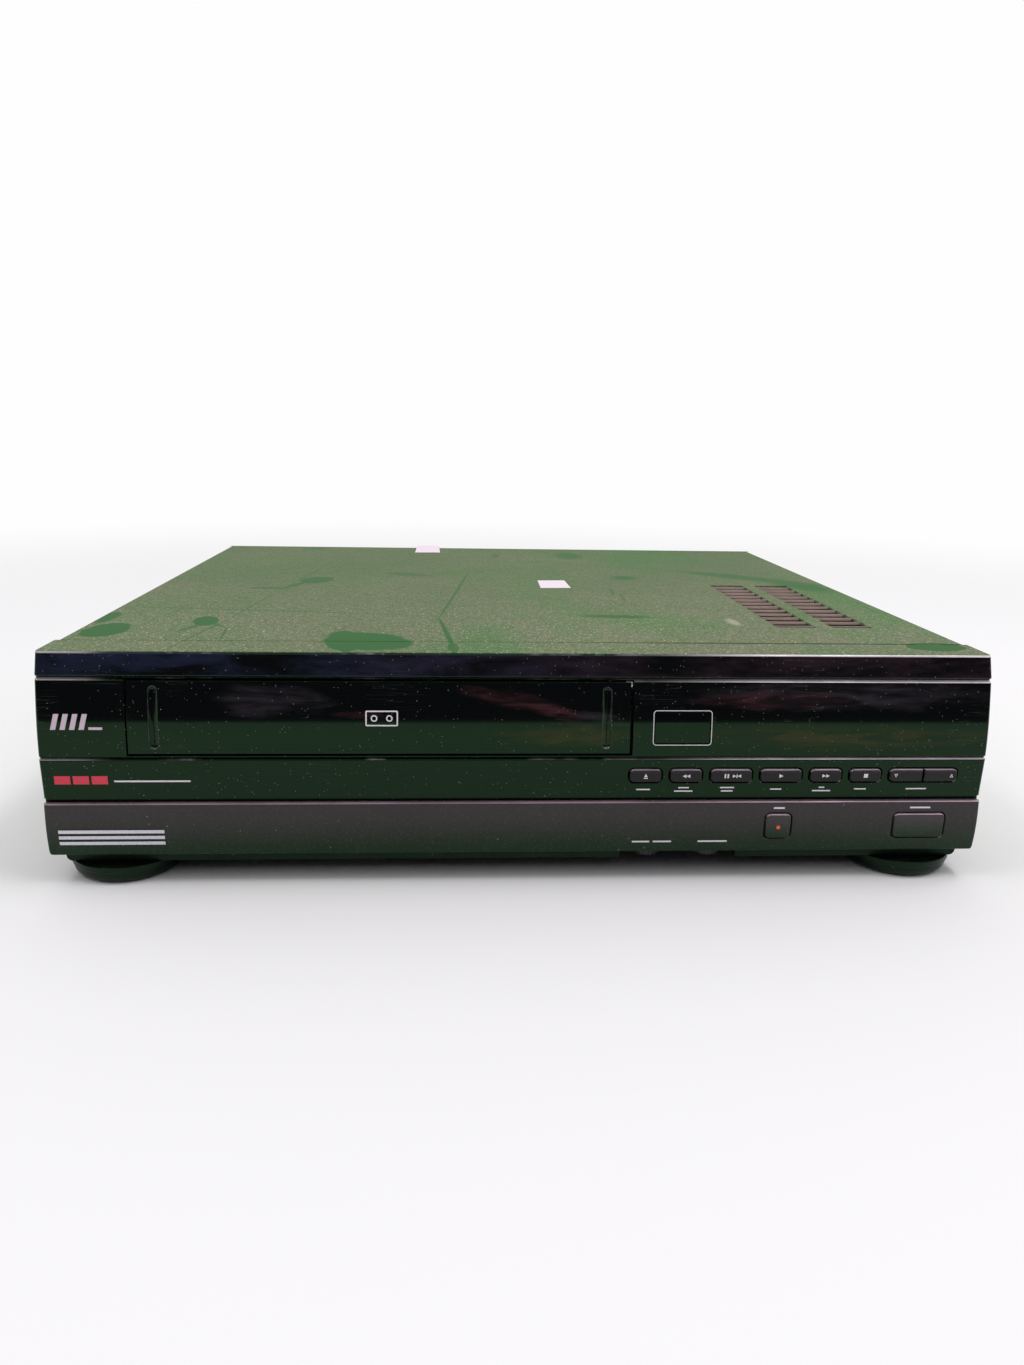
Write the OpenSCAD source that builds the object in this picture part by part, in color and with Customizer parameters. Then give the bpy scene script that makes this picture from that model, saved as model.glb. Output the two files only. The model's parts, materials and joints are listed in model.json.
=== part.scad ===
/* [Case] */
// Width across the front bezel
body_w = 380; // [376:1:390]
// Height of the case from the underside of the base pan to the top
case_h = 87.5; // [86.5:0.5:92]
// Depth from the top front edge to the rear panel's outer face
case_d = 348; // [346:1:370]
// Thickness of the steel top cover
sheet = 1; // [0.8:0.1:1.3]
// How far the cover's side lies inside the bezel's side
cover_step = 1; // [1:0.1:1.6]
// Wall of the moulded front
wall = 2.5; // [2.2:0.1:2.8]
// Depth of the bezel's top and side returns
return_d = 20.5; // [18:0.5:24]
// Radius of the bezel's vertical front corners
corner_r = 2.5; // [2:0.5:5]
// Radius of the bezel's top front edge
edge_r = 1.6; // [1:0.1:2]
// Gap between parts that are close but never touch
gap = 0.3; // [0.2:0.05:0.35]
// Thickness of the base pan
pan_t = 1.5; // [1.2:0.1:2]
// How far the base pan's side stands in from the bezel's side
pan_inset = 4.5; // [4:0.5:6]
// Thickness of the rear panel
rear_t = 2; // [1.5:0.1:2.5]

/* [Front bands] */
// Height of the top strip
strip_h = 9; // [8:0.5:10]
// How far the top strip leans out at its lower edge
strip_lean = 3; // [2.5:0.1:3.5]
// Height of the groove under the top strip
groove_h = 1.8; // [1.5:0.1:2.2]
// Depth of the groove under the top strip
groove_d = 1.4; // [1:0.1:1.6]
// Height of the band that holds the cassette door
mid_h = 30.2; // [30:0.1:30.6]
// Lean of the door band at its top
mid_lean = 3.2; // [3:0.1:3.5]
// Extra lean of the door band at its bottom
mid_bulge = 3.3; // [2.8:0.1:3.5]
// Height of the ledge over the key strip
ledge_h = 1.2; // [1:0.1:1.5]
// Height of the key strip
key_strip_h = 16.4; // [16:0.1:17]
// Lean of the key strip at its top
key_lean = 6.6; // [6.4:0.1:6.8]
// How far the key strip falls back at its bottom
key_back = 1.1; // [0.8:0.1:1.3]
// Height of the shadow line over the lower panel
shadow_h = 1.9; // [1.5:0.1:2.2]
// Height of the lower panel
low_h = 22; // [21.5:0.1:22.5]
// Lean of the lower panel at its top
low_lean = 6.5; // [6.3:0.1:6.7]
// How far the lower panel bulges
low_bulge = 0.8; // [0.4:0.1:0.9]
// How far the lower panel falls back at its bottom
low_back = 0.8; // [0.4:0.1:1]
// Lean of the bezel wall behind the lower panel
shelf_y = 3.6; // [3.4:0.1:3.8]

/* [Cassette door] */
// Distance of the door's centre and of the tape deck's from the bezel's left side
deck_in = 133.5; // [132:0.5:136]
// Room between a cassette and each side of the door opening
door_side = 5.6; // [5.4:0.1:6.4]
// Gap around the door
door_gap = 0.5; // [0.4:0.1:0.7]
// Thickness of the door
door_t = 2.2; // [2:0.1:2.4]
// How far the door's face lies behind the band
door_inset = 0.3; // [0.2:0.1:0.5]
// Distance of each finger groove from the door's centre
groove_x = 89; // [87:0.5:91]
// Width of a finger groove
finger_w = 4.2; // [3:0.1:4.6]
// Height of a finger groove
finger_h = 25.4; // [22:0.1:26]
// Depth of a finger groove
finger_d = 1; // [0.6:0.1:1.2]
// Radius of the door's pivot stubs
stub_r = 1.2; // [1:0.1:1.3]
// Running clearance of a pin in its bore
run = 0.05; // [0.03:0.01:0.08]

/* [Display] */
// Distance between the door opening and the display window
window_in = 8.9; // [8:0.1:10]
// Width of the display window
window_w = 22.2; // [20:0.1:24]
// Height of the display window
window_h = 12.6; // [11:0.1:13]
// Depth of the window's upper edge below the band's top
window_drop = 12.1; // [11:0.1:13]

/* [Keys] */
// Distance of the first key cap's left edge from the bezel's right side
keys_in = 147.6; // [147:0.1:148]
// Width of a narrow key cap
key_narrow = 13.1; // [12.8:0.1:13.3]
// Width of a wide key cap
key_wide = 17.1; // [16.8:0.1:17.3]
// Width of a channel key cap
key_channel = 13.9; // [13.5:0.1:14.1]
// Distance between two key caps
key_space = 3.5; // [3.3:0.1:3.7]
// Distance between the two channel key caps
pair_space = 0.6; // [0.5:0.1:0.8]
// Height of a key cap
key_h = 5.6; // [5.2:0.1:6]
// Depth of the keys' centre line below the strip's top
key_drop = 7; // [6.6:0.1:7.4]
// How far a key cap stands out of the strip
key_proud = 0.9; // [0.6:0.1:1.1]
// Gap between a cap and its recess
key_gap = 0.6; // [0.5:0.05:0.7]
// Travel of a key
key_travel = 1; // [0.8:0.1:1.2]
// Corner radius of a key cap
key_r = 1.9; // [1:0.1:2.2]
// Distance of the record key's left edge from the bezel's right side
record_in = 90.1; // [89:0.1:91]
// Width of the record key
record_w = 10.5; // [10:0.1:11]
// Distance of the power key's left edge from the bezel's right side
power_in = 36.1; // [35:0.1:37]
// Width of the power key
power_w = 21.4; // [21:0.1:22]
// Height of the record and power keys
low_key_h = 10.6; // [10:0.1:11]
// Depth of their centre line below the lower panel's top
low_key_drop = 10.6; // [10.2:0.1:11]

/* [Tracking wheels] */
// Distance of the slow-tracking wheel from the bezel's right side
slow_in = 137.2; // [136:0.1:138]
// Distance of the tracking wheel from the bezel's right side
track_in = 111.7; // [111:0.1:113]
// Radius of a tracking wheel
wheel_r = 5.2; // [4.9:0.1:5.6]
// Thickness of a tracking wheel
wheel_t = 3; // [2.6:0.1:3.4]
// Depth of the wheels' axis behind the top front edge
wheel_y = 4.8; // [4.7:0.05:4.9]
// Distance of the notch in the base pan's lip from the bezel's right side
notch_in = 149; // [148:0.5:149.5]
// Width of the notch in the base pan's lip
notch_w = 49; // [48:0.5:50]

/* [Feet] */
// Height of a foot
foot_h = 7.5; // [6:0.5:9]
// Radius of a foot
foot_r = 22.5; // [20:0.5:23]
// Distance of a foot's centre from the bezel's side
foot_inset = 25; // [24:0.5:27]
// Distance of the front feet's centres behind the front edge
foot_front = 14.5; // [14:0.5:16]
// Distance of the rear feet's centres in front of the rear panel
foot_rear = 38; // [30:1:45]

/* [Vents] */
// Number of slats in a vent column
vent_rows = 12; // [6:1:12]
// Distance between vent slats
vent_pitch = 10.4; // [10:0.1:10.8]
// Width of a vent column
vent_w = 18.5; // [16:0.5:19]
// Depth of a vent slat from its front edge to its rear edge
vent_slat = 6; // [4:0.5:7]
// Distance of the first vent column's left edge from the bezel's right side
vent_in = 71; // [70:0.5:75]
// Distance between the two vent columns
vent_step = 26; // [24:0.5:27]
// Distance of the first slat behind the front edge
vent_y = 56; // [52:1:60]
// How far a vent's slat dips below the cover
vent_dip = 2.4; // [1.5:0.1:3]

/* [Tape deck] */
// Height of the deck plate over the base pan
deck_lift = 18.8; // [18:0.2:20]
// Thickness of the deck plate
deck_t = 1.2; // [1:0.1:1.5]
// How far the deck plate reaches past the carriage brackets
deck_margin = 0.8; // [0.4:0.1:2]
// Front edge of the deck plate behind the front edge
deck_front = 34; // [32.5:0.5:36]
// Rear edge of the deck plate behind the front edge
deck_rear = 272; // [268:1:276]
// Distance of a reel's axis from the deck's centre
reel_x = 46.25; // [46:0.05:46.5]
// Distance of the reels' axes behind the front edge
reel_y = 137; // [135:0.5:139]
// Radius of a reel table
reel_r = 22; // [21:0.5:22.5]
// Radius of the shafts and posts of the deck
post_r = 1.5; // [1.3:0.1:1.7]
// Radius of the tape drum
drum_r = 31; // [30.5:0.1:31.2]
// Distance of the drum's axis behind the front edge
drum_y = 232; // [231:0.5:234]
// Lean of the drum's axis
drum_tilt = 5.96; // [5:0.01:6.5]
// Height of the lower drum
lower_drum_h = 20; // [19:0.5:21]
// Height of the upper drum
upper_drum_h = 17; // [15:0.5:18]
// Radius of the drum's shaft
drum_shaft_r = 3; // [2.5:0.1:3.2]
// Place of the capstan from the deck's centre
capstan_x = 60; // [59:0.5:61]
// Distance of the capstan behind the front edge
capstan_y = 187; // [186:0.5:188]
// Radius of the capstan's flywheel
flywheel_r = 24; // [22:0.5:25]
// Radius of the pulley on the capstan
capstan_pulley_r = 8; // [7:0.5:9]
// Radius of the clutch pulley
clutch_pulley_r = 16; // [15:0.5:17]
// Radius of the clutch roller
clutch_r = 9; // [8.5:0.1:9.2]
// Distance of the clutch's axis behind the front edge
clutch_y = 152; // [151.5:0.5:153]
// Radius of the idler wheel
idler_r = 11.5; // [11:0.1:11.7]
// Thickness of the drive belt
belt_t = 1; // [0.8:0.1:1.2]
// Gear module of the loading train
gear_m = 0.8; // [0.7:0.05:0.85]
// Teeth of the cam gear
cam_teeth = 60; // [58:1:62]
// Teeth of the loading pinion
pinion_teeth = 12; // [11:1:13]
// Place of the cam gear from the deck's centre
cam_x = -56; // [-58:0.5:-54]
// Distance of the cam gear behind the front edge
cam_y = 75; // [72:0.5:78]
// Radius of the pinch roller
pinch_r = 8; // [7:0.1:8.2]
// Travel of a guide block
guide_travel = 48; // [44:0.5:49]

/* [Carriage] */
// Width of a cassette
cassette_w = 188; // [187:0.5:188.5]
// Thickness of a cassette
cassette_t = 25; // [24:0.5:25]
// Room between a cassette and its holder
cassette_play = 1.2; // [1:0.1:1.3]
// Sheet thickness of the cassette holder
holder_t = 1; // [0.8:0.1:1.2]
// Depth of the cassette holder
holder_d = 88; // [80:1:90]
// Distance of the holder's front behind the front edge
holder_y = 33; // [32.5:0.5:34]
// Travel of the holder into the deck
holder_in = 75; // [70:1:76]
// Drop of the holder on to the reels
holder_drop = 21.6; // [20:0.2:21.8]
// Width of the holder's bottom ledges
holder_ledge = 7; // [5:0.5:8]

/* [Electronics] */
// Thickness of the circuit boards
board_t = 1.6; // [1.2:0.1:2]
// Height of the main board over the base pan
board_lift = 8; // [6:0.5:9]
// Distance between the deck plate and the main board
board_gap = 9.5; // [8:0.5:11]
// Width of the power transformer's core
core_w = 46; // [42:1:48]
// Depth of the power transformer's core
core_d = 22; // [18:1:24]
// Height of the power transformer's core
core_h = 40; // [36:1:42]
// How far the transformer's winding stands out of its core at each side
winding_out = 10; // [8:0.5:12]
// Width of the heat sink
sink_w = 37.6; // [34:0.4:40]
// Height of the heat sink
sink_h = 38; // [34:1:40]
// Depth of the heat sink
sink_d = 20; // [16:1:22]
// Depth of the tuner box
tuner_d = 38; // [34:1:42]
// Height of the tuner box
tuner_h = 45.9; // [44:0.1:48]
// Radius of a video or sound socket's sleeve
jack_r = 4.15; // [4.1:0.05:4.2]
// Length of the sockets behind the rear panel
jack_l = 8; // [7:0.5:9]
// Radius of an aerial connector
aerial_r = 4.7; // [4.6:0.05:4.75]

/* [Hidden] */
$fn = 48;
// Small overshoot that keeps cuts clean
eps = 0.01;

// Heights above the table
z_top = foot_h + case_h;
z_strip = z_top - strip_h;
z_mid = z_strip - groove_h;
z_mid_end = z_mid - mid_h;
z_key = z_mid_end - ledge_h;
z_key_end = z_key - key_strip_h;
z_low = z_key_end - shadow_h;
z_low_end = z_low - low_h;
floor_z = foot_h + pan_t;
deck_z = floor_z + deck_lift;
deck_top = deck_z + deck_t;
board_z = floor_z + board_lift;
board_top = board_z + board_t;
// Everything is drawn from the middle of the top front edge and then centred
front_reach = foot_r - foot_front;
rear_reach = case_d + jack_l;
case_mid = (rear_reach - front_reach) / 2;
// Half widths
half_w = body_w / 2;
deck_x = deck_in - half_w;
door_w = cassette_w + 2 * door_side;
window_x = deck_x + door_w / 2 + window_in;
key_x = half_w - keys_in;
record_x = half_w - record_in;
power_x = half_w - power_in;
slow_x = half_w - slow_in;
track_x = half_w - track_in;
notch_x = half_w - notch_in;
vent_x = half_w - vent_in;
cover_half = half_w - cover_step;
cover_in = cover_half - sheet;
pan_half = half_w - pan_inset;
rear_half = cover_in - gap;
pan_rear = case_d - rear_t;
cover_front = return_d + gap;
// Carriage, from the deck's centre: holder, arms with their room, and brackets
arm_room = 2.4;
plate_t = 1.2;
holder_half = cassette_w / 2 + cassette_play;
arm_in = holder_half + holder_t + arm_room;
arm_out = arm_in + plate_t;
plate_in = arm_out + plate_t;
plate_out = plate_in + plate_t;
deck_half = plate_out + deck_margin;
board_x = deck_x + deck_half + board_gap;
// Overshoot of a cut past a face
over = 1;
// Rise and radius of the base pan's walls
pan_wall_h = 7;
pan_corner = 2.5;

// Moves a piece from the front edge's frame to the case's centre
module in_case() translate([0, -case_mid, 0]) children();

// Extrudes a side view, drawn as (y, z), from x0 to x1
module along_x(x0, x1)
  translate([x0, 0, 0]) rotate([90, 0, 90]) linear_extrude(x1 - x0) children();

// Extrudes a front view, drawn as (x, z), from y0 back to y1
module along_y(y0, y1)
  translate([0, y1, 0]) rotate([90, 0, 0]) linear_extrude(y1 - y0) children();

// A box given by its low and high corners
module block(low, high) translate(low) cube(high - low);

// An upright cylinder given by its place
module post(x, y, z0, z1, r) translate([x, y, z0]) cylinder(h = z1 - z0, r = r);

// A cylinder that lies along x, or along y
module rod_x(x0, x1, y, z, r)
  translate([x0, y, z]) rotate([0, 90, 0]) cylinder(h = x1 - x0, r = r);
module rod_y(x, y0, y1, z, r)
  translate([x, y0, z]) rotate([-90, 0, 0]) cylinder(h = y1 - y0, r = r);

// Points on an arc
function arc(x, y, r, a0, a1, n) =
  [for (i = [0 : n]) let (a = a0 + (a1 - a0) * i / n) [x + r * cos(a), y + r * sin(a)]];

// A rectangle with its own radius at each corner, from the lower left one round
function round_box(x0, y0, x1, y1, r) = concat(
  arc(x0 + r[0], y0 + r[0], r[0], 180, 270, 6),
  arc(x1 - r[1], y0 + r[1], r[1], 270, 360, 6),
  arc(x1 - r[2], y1 - r[2], r[2], 0, 90, 6),
  arc(x0 + r[3], y1 - r[3], r[3], 90, 180, 6));

// Lean of the front's bands at a height
function mid_y(z) = -(mid_lean + mid_bulge * sin(90 * (z_mid - z) / mid_h));
function key_y(z) = -(key_lean - key_back * (z_key - z) / key_strip_h);
function low_y(z) = let (t = (z_low - z) / low_h)
  -(low_lean + low_bulge * sin(180 * t) - low_back * t);

// Faces of the bands from their top to their bottom, moved back by a depth
edge_cut = 0.7;
band_steps = 8;
function mid_face(z0, z1, back) =
  [for (i = [0 : band_steps]) let (z = z0 + (z1 - z0) * i / band_steps) [mid_y(z) + back, z]];
function low_face(z0, z1, back) =
  [for (i = [0 : band_steps]) let (z = z0 + (z1 - z0) * i / band_steps) [low_y(z) + back, z]];

function bezel_face() = concat(
  [[return_d, z_top]],
  arc(edge_r, z_top - edge_r, edge_r, 90, 165, 4),
  [[-strip_lean, z_strip], [-strip_lean + groove_d, z_strip - groove_h / 2]],
  [[-mid_lean + edge_cut, z_mid]],
  mid_face(z_mid - edge_cut, z_mid_end, 0),
  [[mid_y(z_mid_end) + groove_d, z_mid_end - ledge_h / 2]],
  [[key_y(z_key) + edge_cut, z_key], [key_y(z_key), z_key - edge_cut]],
  [[key_y(z_key_end), z_key_end], [-shelf_y, z_key_end], [-shelf_y, z_low_end]]);

function bezel_back() = concat(
  [[return_d + 1, z_top - wall], [edge_r + wall - 1, z_top - wall]],
  [[wall - strip_lean + groove_d, z_strip - groove_h]],
  mid_face(z_mid - wall, z_mid_end, wall),
  [[key_y(z_key) + wall, z_key], [key_y(z_key_end) + wall, z_key_end + wall + 1]],
  [[wall - shelf_y, z_key_end + wall - 1], [wall - shelf_y, z_low_end - 1]],
  [[return_d + 1, z_low_end - 1]]);

// Plan of the front with its two rounded corners
module front_plan(z0, z1)
  translate([0, 0, z0]) linear_extrude(z1 - z0)
    polygon(round_box(-half_w, -low_lean - corner_r, half_w, return_d + corner_r,
      [corner_r, corner_r, corner_r, corner_r]));

// Key places
key_count = 8;
function key_width(i) = i == 2 || i == 3 ? key_wide : (i > 5 ? key_channel : key_narrow);
function key_left(i) = i == 0 ? key_x
  : key_left(i - 1) + key_width(i - 1) + (i == 7 ? pair_space : key_space);
key_zc = z_key - key_drop;
low_key_zc = z_low - low_key_drop;
window_z1 = z_mid - window_drop;
window_z0 = window_z1 - window_h;
door_x0 = deck_x - door_w / 2;
door_x1 = deck_x + door_w / 2;
door_z0 = z_mid_end + door_gap;
door_z1 = z_mid + door_gap;

// Recess of a key or of the channel pair
module key_hole(i)
  let (w = i == 6 ? 2 * key_channel + pair_space : key_width(i))
    along_y(-low_lean - corner_r, wall + corner_r)
      polygon(round_box(key_left(i) - key_gap, key_zc - key_h / 2 - key_gap,
        key_left(i) + w + key_gap, key_zc + key_h / 2 + key_gap, [1, 1, 1, 1] * (key_r + key_gap)));

// Recess of a key of the lower panel
module low_key_hole(x, w)
  along_y(-low_lean - corner_r, wall + corner_r)
    polygon(round_box(x - key_gap, low_key_zc - low_key_h / 2 - key_gap, x + w + key_gap,
      low_key_zc + low_key_h / 2 + key_gap, [1, 1, 1, 1] * (key_r + key_gap)));

// Ears that carry the door's stubs
ear_t = 2;
ear_r = 3.4;
ear_gap = 1;
hinge_y = -0.6;
hinge_z = door_z1 - 2;
ear_x = door_w / 2 + ear_gap;
stub_end = ear_x + ear_t;
module door_ears() for (s = [-1, 1]) translate([deck_x + s * (ear_x + ear_t / 2), 0, 0]) {
  block([-ear_t / 2, -wall + 1, hinge_z - ear_r], [ear_t / 2, hinge_y + ear_r, hinge_z + ear_r]);
  block([-ear_t / 2, hinge_y + 1, hinge_z], [ear_t / 2, hinge_y + ear_r, z_top - wall + eps]);
}
module door_bores() for (s = [-1, 1])
  translate([deck_x, 0, 0]) mirror([s < 0 ? 1 : 0, 0, 0])
    rod_x(door_w / 2 - over, stub_end + gap, hinge_y, hinge_z, stub_r + run);

module front_bezel() color([0.05, 0.055, 0.06]) in_case() {
  difference() {
    intersection() {
      front_plan(z_low_end - over, z_top + over);
      union() {
        difference() {
          along_x(-half_w, half_w) polygon(concat(bezel_face(), [[return_d, z_low_end]]));
          along_x(-half_w + wall, half_w - wall) polygon(bezel_back());
        }
        door_ears();
      }
    }
    block([door_x0, -low_lean - corner_r, door_z0], [door_x1, hinge_y + ear_r + over, door_z1]);
    block([window_x - gap, -low_lean - corner_r, window_z0 - gap],
      [window_x + window_w + gap, wall, window_z1 + gap]);
    for (i = [0 : key_count - 2]) key_hole(i);
    low_key_hole(record_x, record_w);
    low_key_hole(power_x, power_w);
    door_bores();
  }
  for (x = pcb_posts) difference() {
    rod_y(x, -2, pcb_y, pcb_post_z, pcb_post_r);
    rod_y(x, 0, pcb_y + over, pcb_post_z, screw_r + run);
  }
}

// The lower panel's ends curve in towards their bottom edge
low_end_r = 2;
panel_gap = 0.1;
module lower_front_panel() color([0.24, 0.22, 0.25]) in_case()
  intersection() {
    front_plan(z_low_end - 1, z_low + 1);
    along_y(-low_lean - corner_r, 0)
      polygon(round_box(-half_w, z_low_end, half_w, z_low, [low_end_r, low_end_r, gap, gap]));
    difference() {
      along_x(-half_w, half_w) polygon(concat(
        [[-shelf_y - panel_gap, z_low]], [[low_y(z_low) + edge_cut, z_low]],
        low_face(z_low - edge_cut, z_low_end + edge_cut, 0),
        [[low_y(z_low_end) + edge_cut, z_low_end], [-shelf_y - panel_gap, z_low_end]]));
      low_key_hole(record_x, record_w);
      low_key_hole(power_x, power_w);
    }
  }

window_inset = 0.15;
window_seat = 0.1;
window_rim = 2;
window_rim_t = 1.2;
window_back = mid_y(window_z1 + window_rim) + wall + window_seat;
module display_window() color([0.02, 0.02, 0.025]) in_case() {
  along_x(window_x, window_x + window_w)
    polygon(concat(mid_face(window_z1, window_z0, window_inset),
      [for (z = [window_z0, window_z1]) [window_back, z]]));
  block([window_x - window_rim, window_back, window_z0 - window_rim],
    [window_x + window_w + window_rim, window_back + window_rim_t, window_z1 + window_rim]);
}

// Closing spring on the right stub
wire_r = 0.2;
leg_r = 0.15;
leg_l = 8;
spring_gap = 0.1;
spring_l = 2.6;
spring_r = stub_r + spring_gap + 2 * wire_r;

// Cassette door with its finger grooves, lugs and stubs
lug_t = 2;
lug_x = door_w / 2 - 5.4;
lug_rise = 0.8;
lug_drop = 3;
lug_reach = 1;
spring_x = deck_x + lug_x + lug_t + gap;
door_top = z_mid - door_gap / 2;
door_low = door_z0 + door_gap;
door_mid = (door_top + door_low) / 2;
module cassette_door() color([0.045, 0.05, 0.055]) in_case() {
  difference() {
    along_x(door_x0 + door_gap, door_x1 - door_gap)
      polygon(concat(mid_face(door_top, door_low, door_inset),
        mid_face(door_low, door_top, door_inset + door_t)));
    for (s = [-1, 1])
      translate([deck_x + s * groove_x, 0, 0]) along_x(-finger_w / 2, finger_w / 2)
        polygon(concat(
          mid_face(door_mid + finger_h / 2, door_mid - finger_h / 2, door_inset + finger_d),
          mid_face(door_mid - finger_h / 2, door_mid + finger_h / 2, -over)));
    block([spring_x - spring_gap, hinge_y - spring_r - spring_gap, hinge_z - spring_r - leg_l],
      [door_x1, wall, z_top]);
  }
  for (s = [-1, 1]) translate([deck_x, 0, 0]) mirror([s < 0 ? 1 : 0, 0, 0]) {
    block([lug_x, mid_y(hinge_z) + over, hinge_z - lug_drop],
      [lug_x + lug_t, hinge_y + lug_reach, hinge_z + lug_rise]);
    rod_x(lug_x, stub_end, hinge_y, hinge_z, stub_r);
  }
}

// The spring is a coil round the right stub, with one leg that runs back into the bezel
module door_spring() color([0.7, 0.7, 0.72]) in_case() {
  difference() {
    rod_x(spring_x, spring_x + spring_l, hinge_y, hinge_z, spring_r);
    rod_x(spring_x - over, spring_x + spring_l + over, hinge_y, hinge_z, spring_r - 2 * wire_r);
  }
  rod_y(spring_x + spring_l / 2, hinge_y + spring_r - wire_r, hinge_y + leg_l, hinge_z, leg_r);
}

// Vent columns of the cover: each slat starts level with the cover and dips towards the rear
function vent_left(c) = vent_x + c * vent_step;
vent_end = 0.5;
module vent_cuts() for (c = [0, 1])
  block([vent_left(c), vent_y, z_top - sheet - over],
    [vent_left(c) + vent_w, vent_y + vent_rows * vent_pitch, z_top + over]);
module vent_slats() for (c = [0, 1], r = [0 : vent_rows - 1])
  along_x(vent_left(c) - vent_end, vent_left(c) + vent_w + vent_end)
    let (y = vent_y + (r + 1) * vent_pitch - vent_slat)
      polygon([[y, z_top], [y, z_top - sheet], [y + vent_slat, z_top - sheet - vent_dip],
        [y + vent_slat, z_top - vent_dip]]);

cover_low = foot_h + 1;
joggle = 5;
cover_flange = 12;
screw_y = [58, 290];
screw_z = foot_h + 9;
screw_r = 1.6;
head_r = 3.4;
rear_screw_x = [-1, 0, 1] * (half_w - 40);
rear_screw_z = z_top - cover_flange / 2;
module top_cover() color([0.12, 0.16, 0.12]) in_case() {
  difference() {
    union() {
      along_y(cover_front, case_d) polygon([
        [-cover_half, cover_low], [-cover_half, z_top - 1.2], [-cover_half + 1.2, z_top],
        [cover_half - 1.2, z_top], [cover_half, z_top - 1.2], [cover_half, cover_low],
        [cover_in, cover_low], [cover_in, z_top - sheet], [-cover_in, z_top - sheet],
        [-cover_in, cover_low]]);
      block([-cover_half, case_d + 0.2, z_top - cover_flange],
        [cover_half, case_d + 0.2 + sheet, z_top]);
      block([-cover_half, case_d - 1, z_top - sheet], [cover_half, case_d + 1, z_top]);
      block([-cover_in + joggle, cover_front, z_top - wall - gap - sheet],
        [cover_in - joggle, cover_front + sheet, z_top - sheet + eps]);
      block([-cover_in + joggle, return_d - joggle, z_top - wall - gap - sheet],
        [cover_in - joggle, cover_front + sheet, z_top - wall - gap]);
    }
    vent_cuts();
    for (y = screw_y) rod_x(-half_w, half_w, y, screw_z, screw_r + 0.2);
    for (x = rear_screw_x) rod_y(x, case_d - 1, case_d + 3, rear_screw_z, screw_r + 0.2);
  }
  vent_slats();
}

// A pan-head screw with a cross recess, along +z from its head's seat
module screw(l, r, hr, hh) {
  difference() {
    translate([0, 0, -hh]) cylinder(h = hh, r = hr);
    for (a = [0, 90]) rotate([0, 0, a])
      translate([-hr * 0.55, -0.45, -hh - 1]) cube([hr * 1.1, 0.9, 1 + hh * 0.6]);
  }
  translate([0, 0, -eps]) cylinder(h = l + eps, r = r);
}

side_head = cover_step;
module cover_screws() color([0.1, 0.1, 0.11]) in_case() {
  for (y = screw_y) {
    translate([-cover_half, y, screw_z]) rotate([0, 90, 0])
      screw(pan_inset, screw_r, head_r, side_head);
    translate([cover_half, y, screw_z]) rotate([0, -90, 0])
      screw(pan_inset, screw_r, head_r, side_head);
  }
  for (x = rear_screw_x)
    translate([x, case_d + 0.2 + sheet, rear_screw_z]) rotate([90, 0, 0])
      screw(0.2 + sheet + rear_t, screw_r, head_r, 1.6);
}

// Feet, with the screw that holds each one
foot_x = half_w - foot_inset;
foot_places = [for (s = [-1, 1], y = [foot_front, case_d - foot_rear]) [s * foot_x, y]];
foot_flange = 2.4;
foot_round = 4.2;
foot_lip = 0.6;
foot_seat = 2.6;
foot_screw_r = 2;
boss_r = 5;
boss_h = 6;
module feet() color([0.06, 0.06, 0.06]) in_case() for (p = foot_places)
  translate([p[0], p[1], 0]) rotate_extrude($fn = 64) polygon(concat(
    [[foot_screw_r + 0.2, foot_seat], [head_r + 1.6, foot_seat], [head_r + 1.6, 0]],
    arc(foot_r - foot_lip - foot_round, foot_round, foot_round, 270, 355, 7),
    [[foot_r - foot_lip, foot_h - foot_flange], [foot_r, foot_h - foot_flange], [foot_r, foot_h]],
    [[foot_screw_r + 0.2, foot_h]]));

module foot_screws() color([0.7, 0.7, 0.72]) in_case() for (p = foot_places)
  translate([p[0], p[1], foot_seat]) screw(foot_h - foot_seat + pan_t + boss_h - 1,
    foot_screw_r, head_r + 0.8, 1.8);

// Screw posts of the deck and of the main board
deck_screw_x = deck_half - 6;
deck_posts = [for (s = [-1, 1], y = [deck_front + 6, deck_rear - 6]) [deck_x + s * deck_screw_x, y]];
board_front = 26;
aerial_x = [half_w - 120, half_w - 96];
tuner_side = 10;
board_rear = pan_rear - 6;
board_right = pan_half - 5;
board_inner = deck_rear + 8;
board_posts = [[board_x + 6, board_front + 8], [board_right - 6, board_front + 8],
  [board_right - 6, board_inner - 20],
  [aerial_x[0] - tuner_side - 6, board_rear - 8], [-pan_half + 14, board_rear - 8]];
post_out = 4;
pan_pad = 6;

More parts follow.
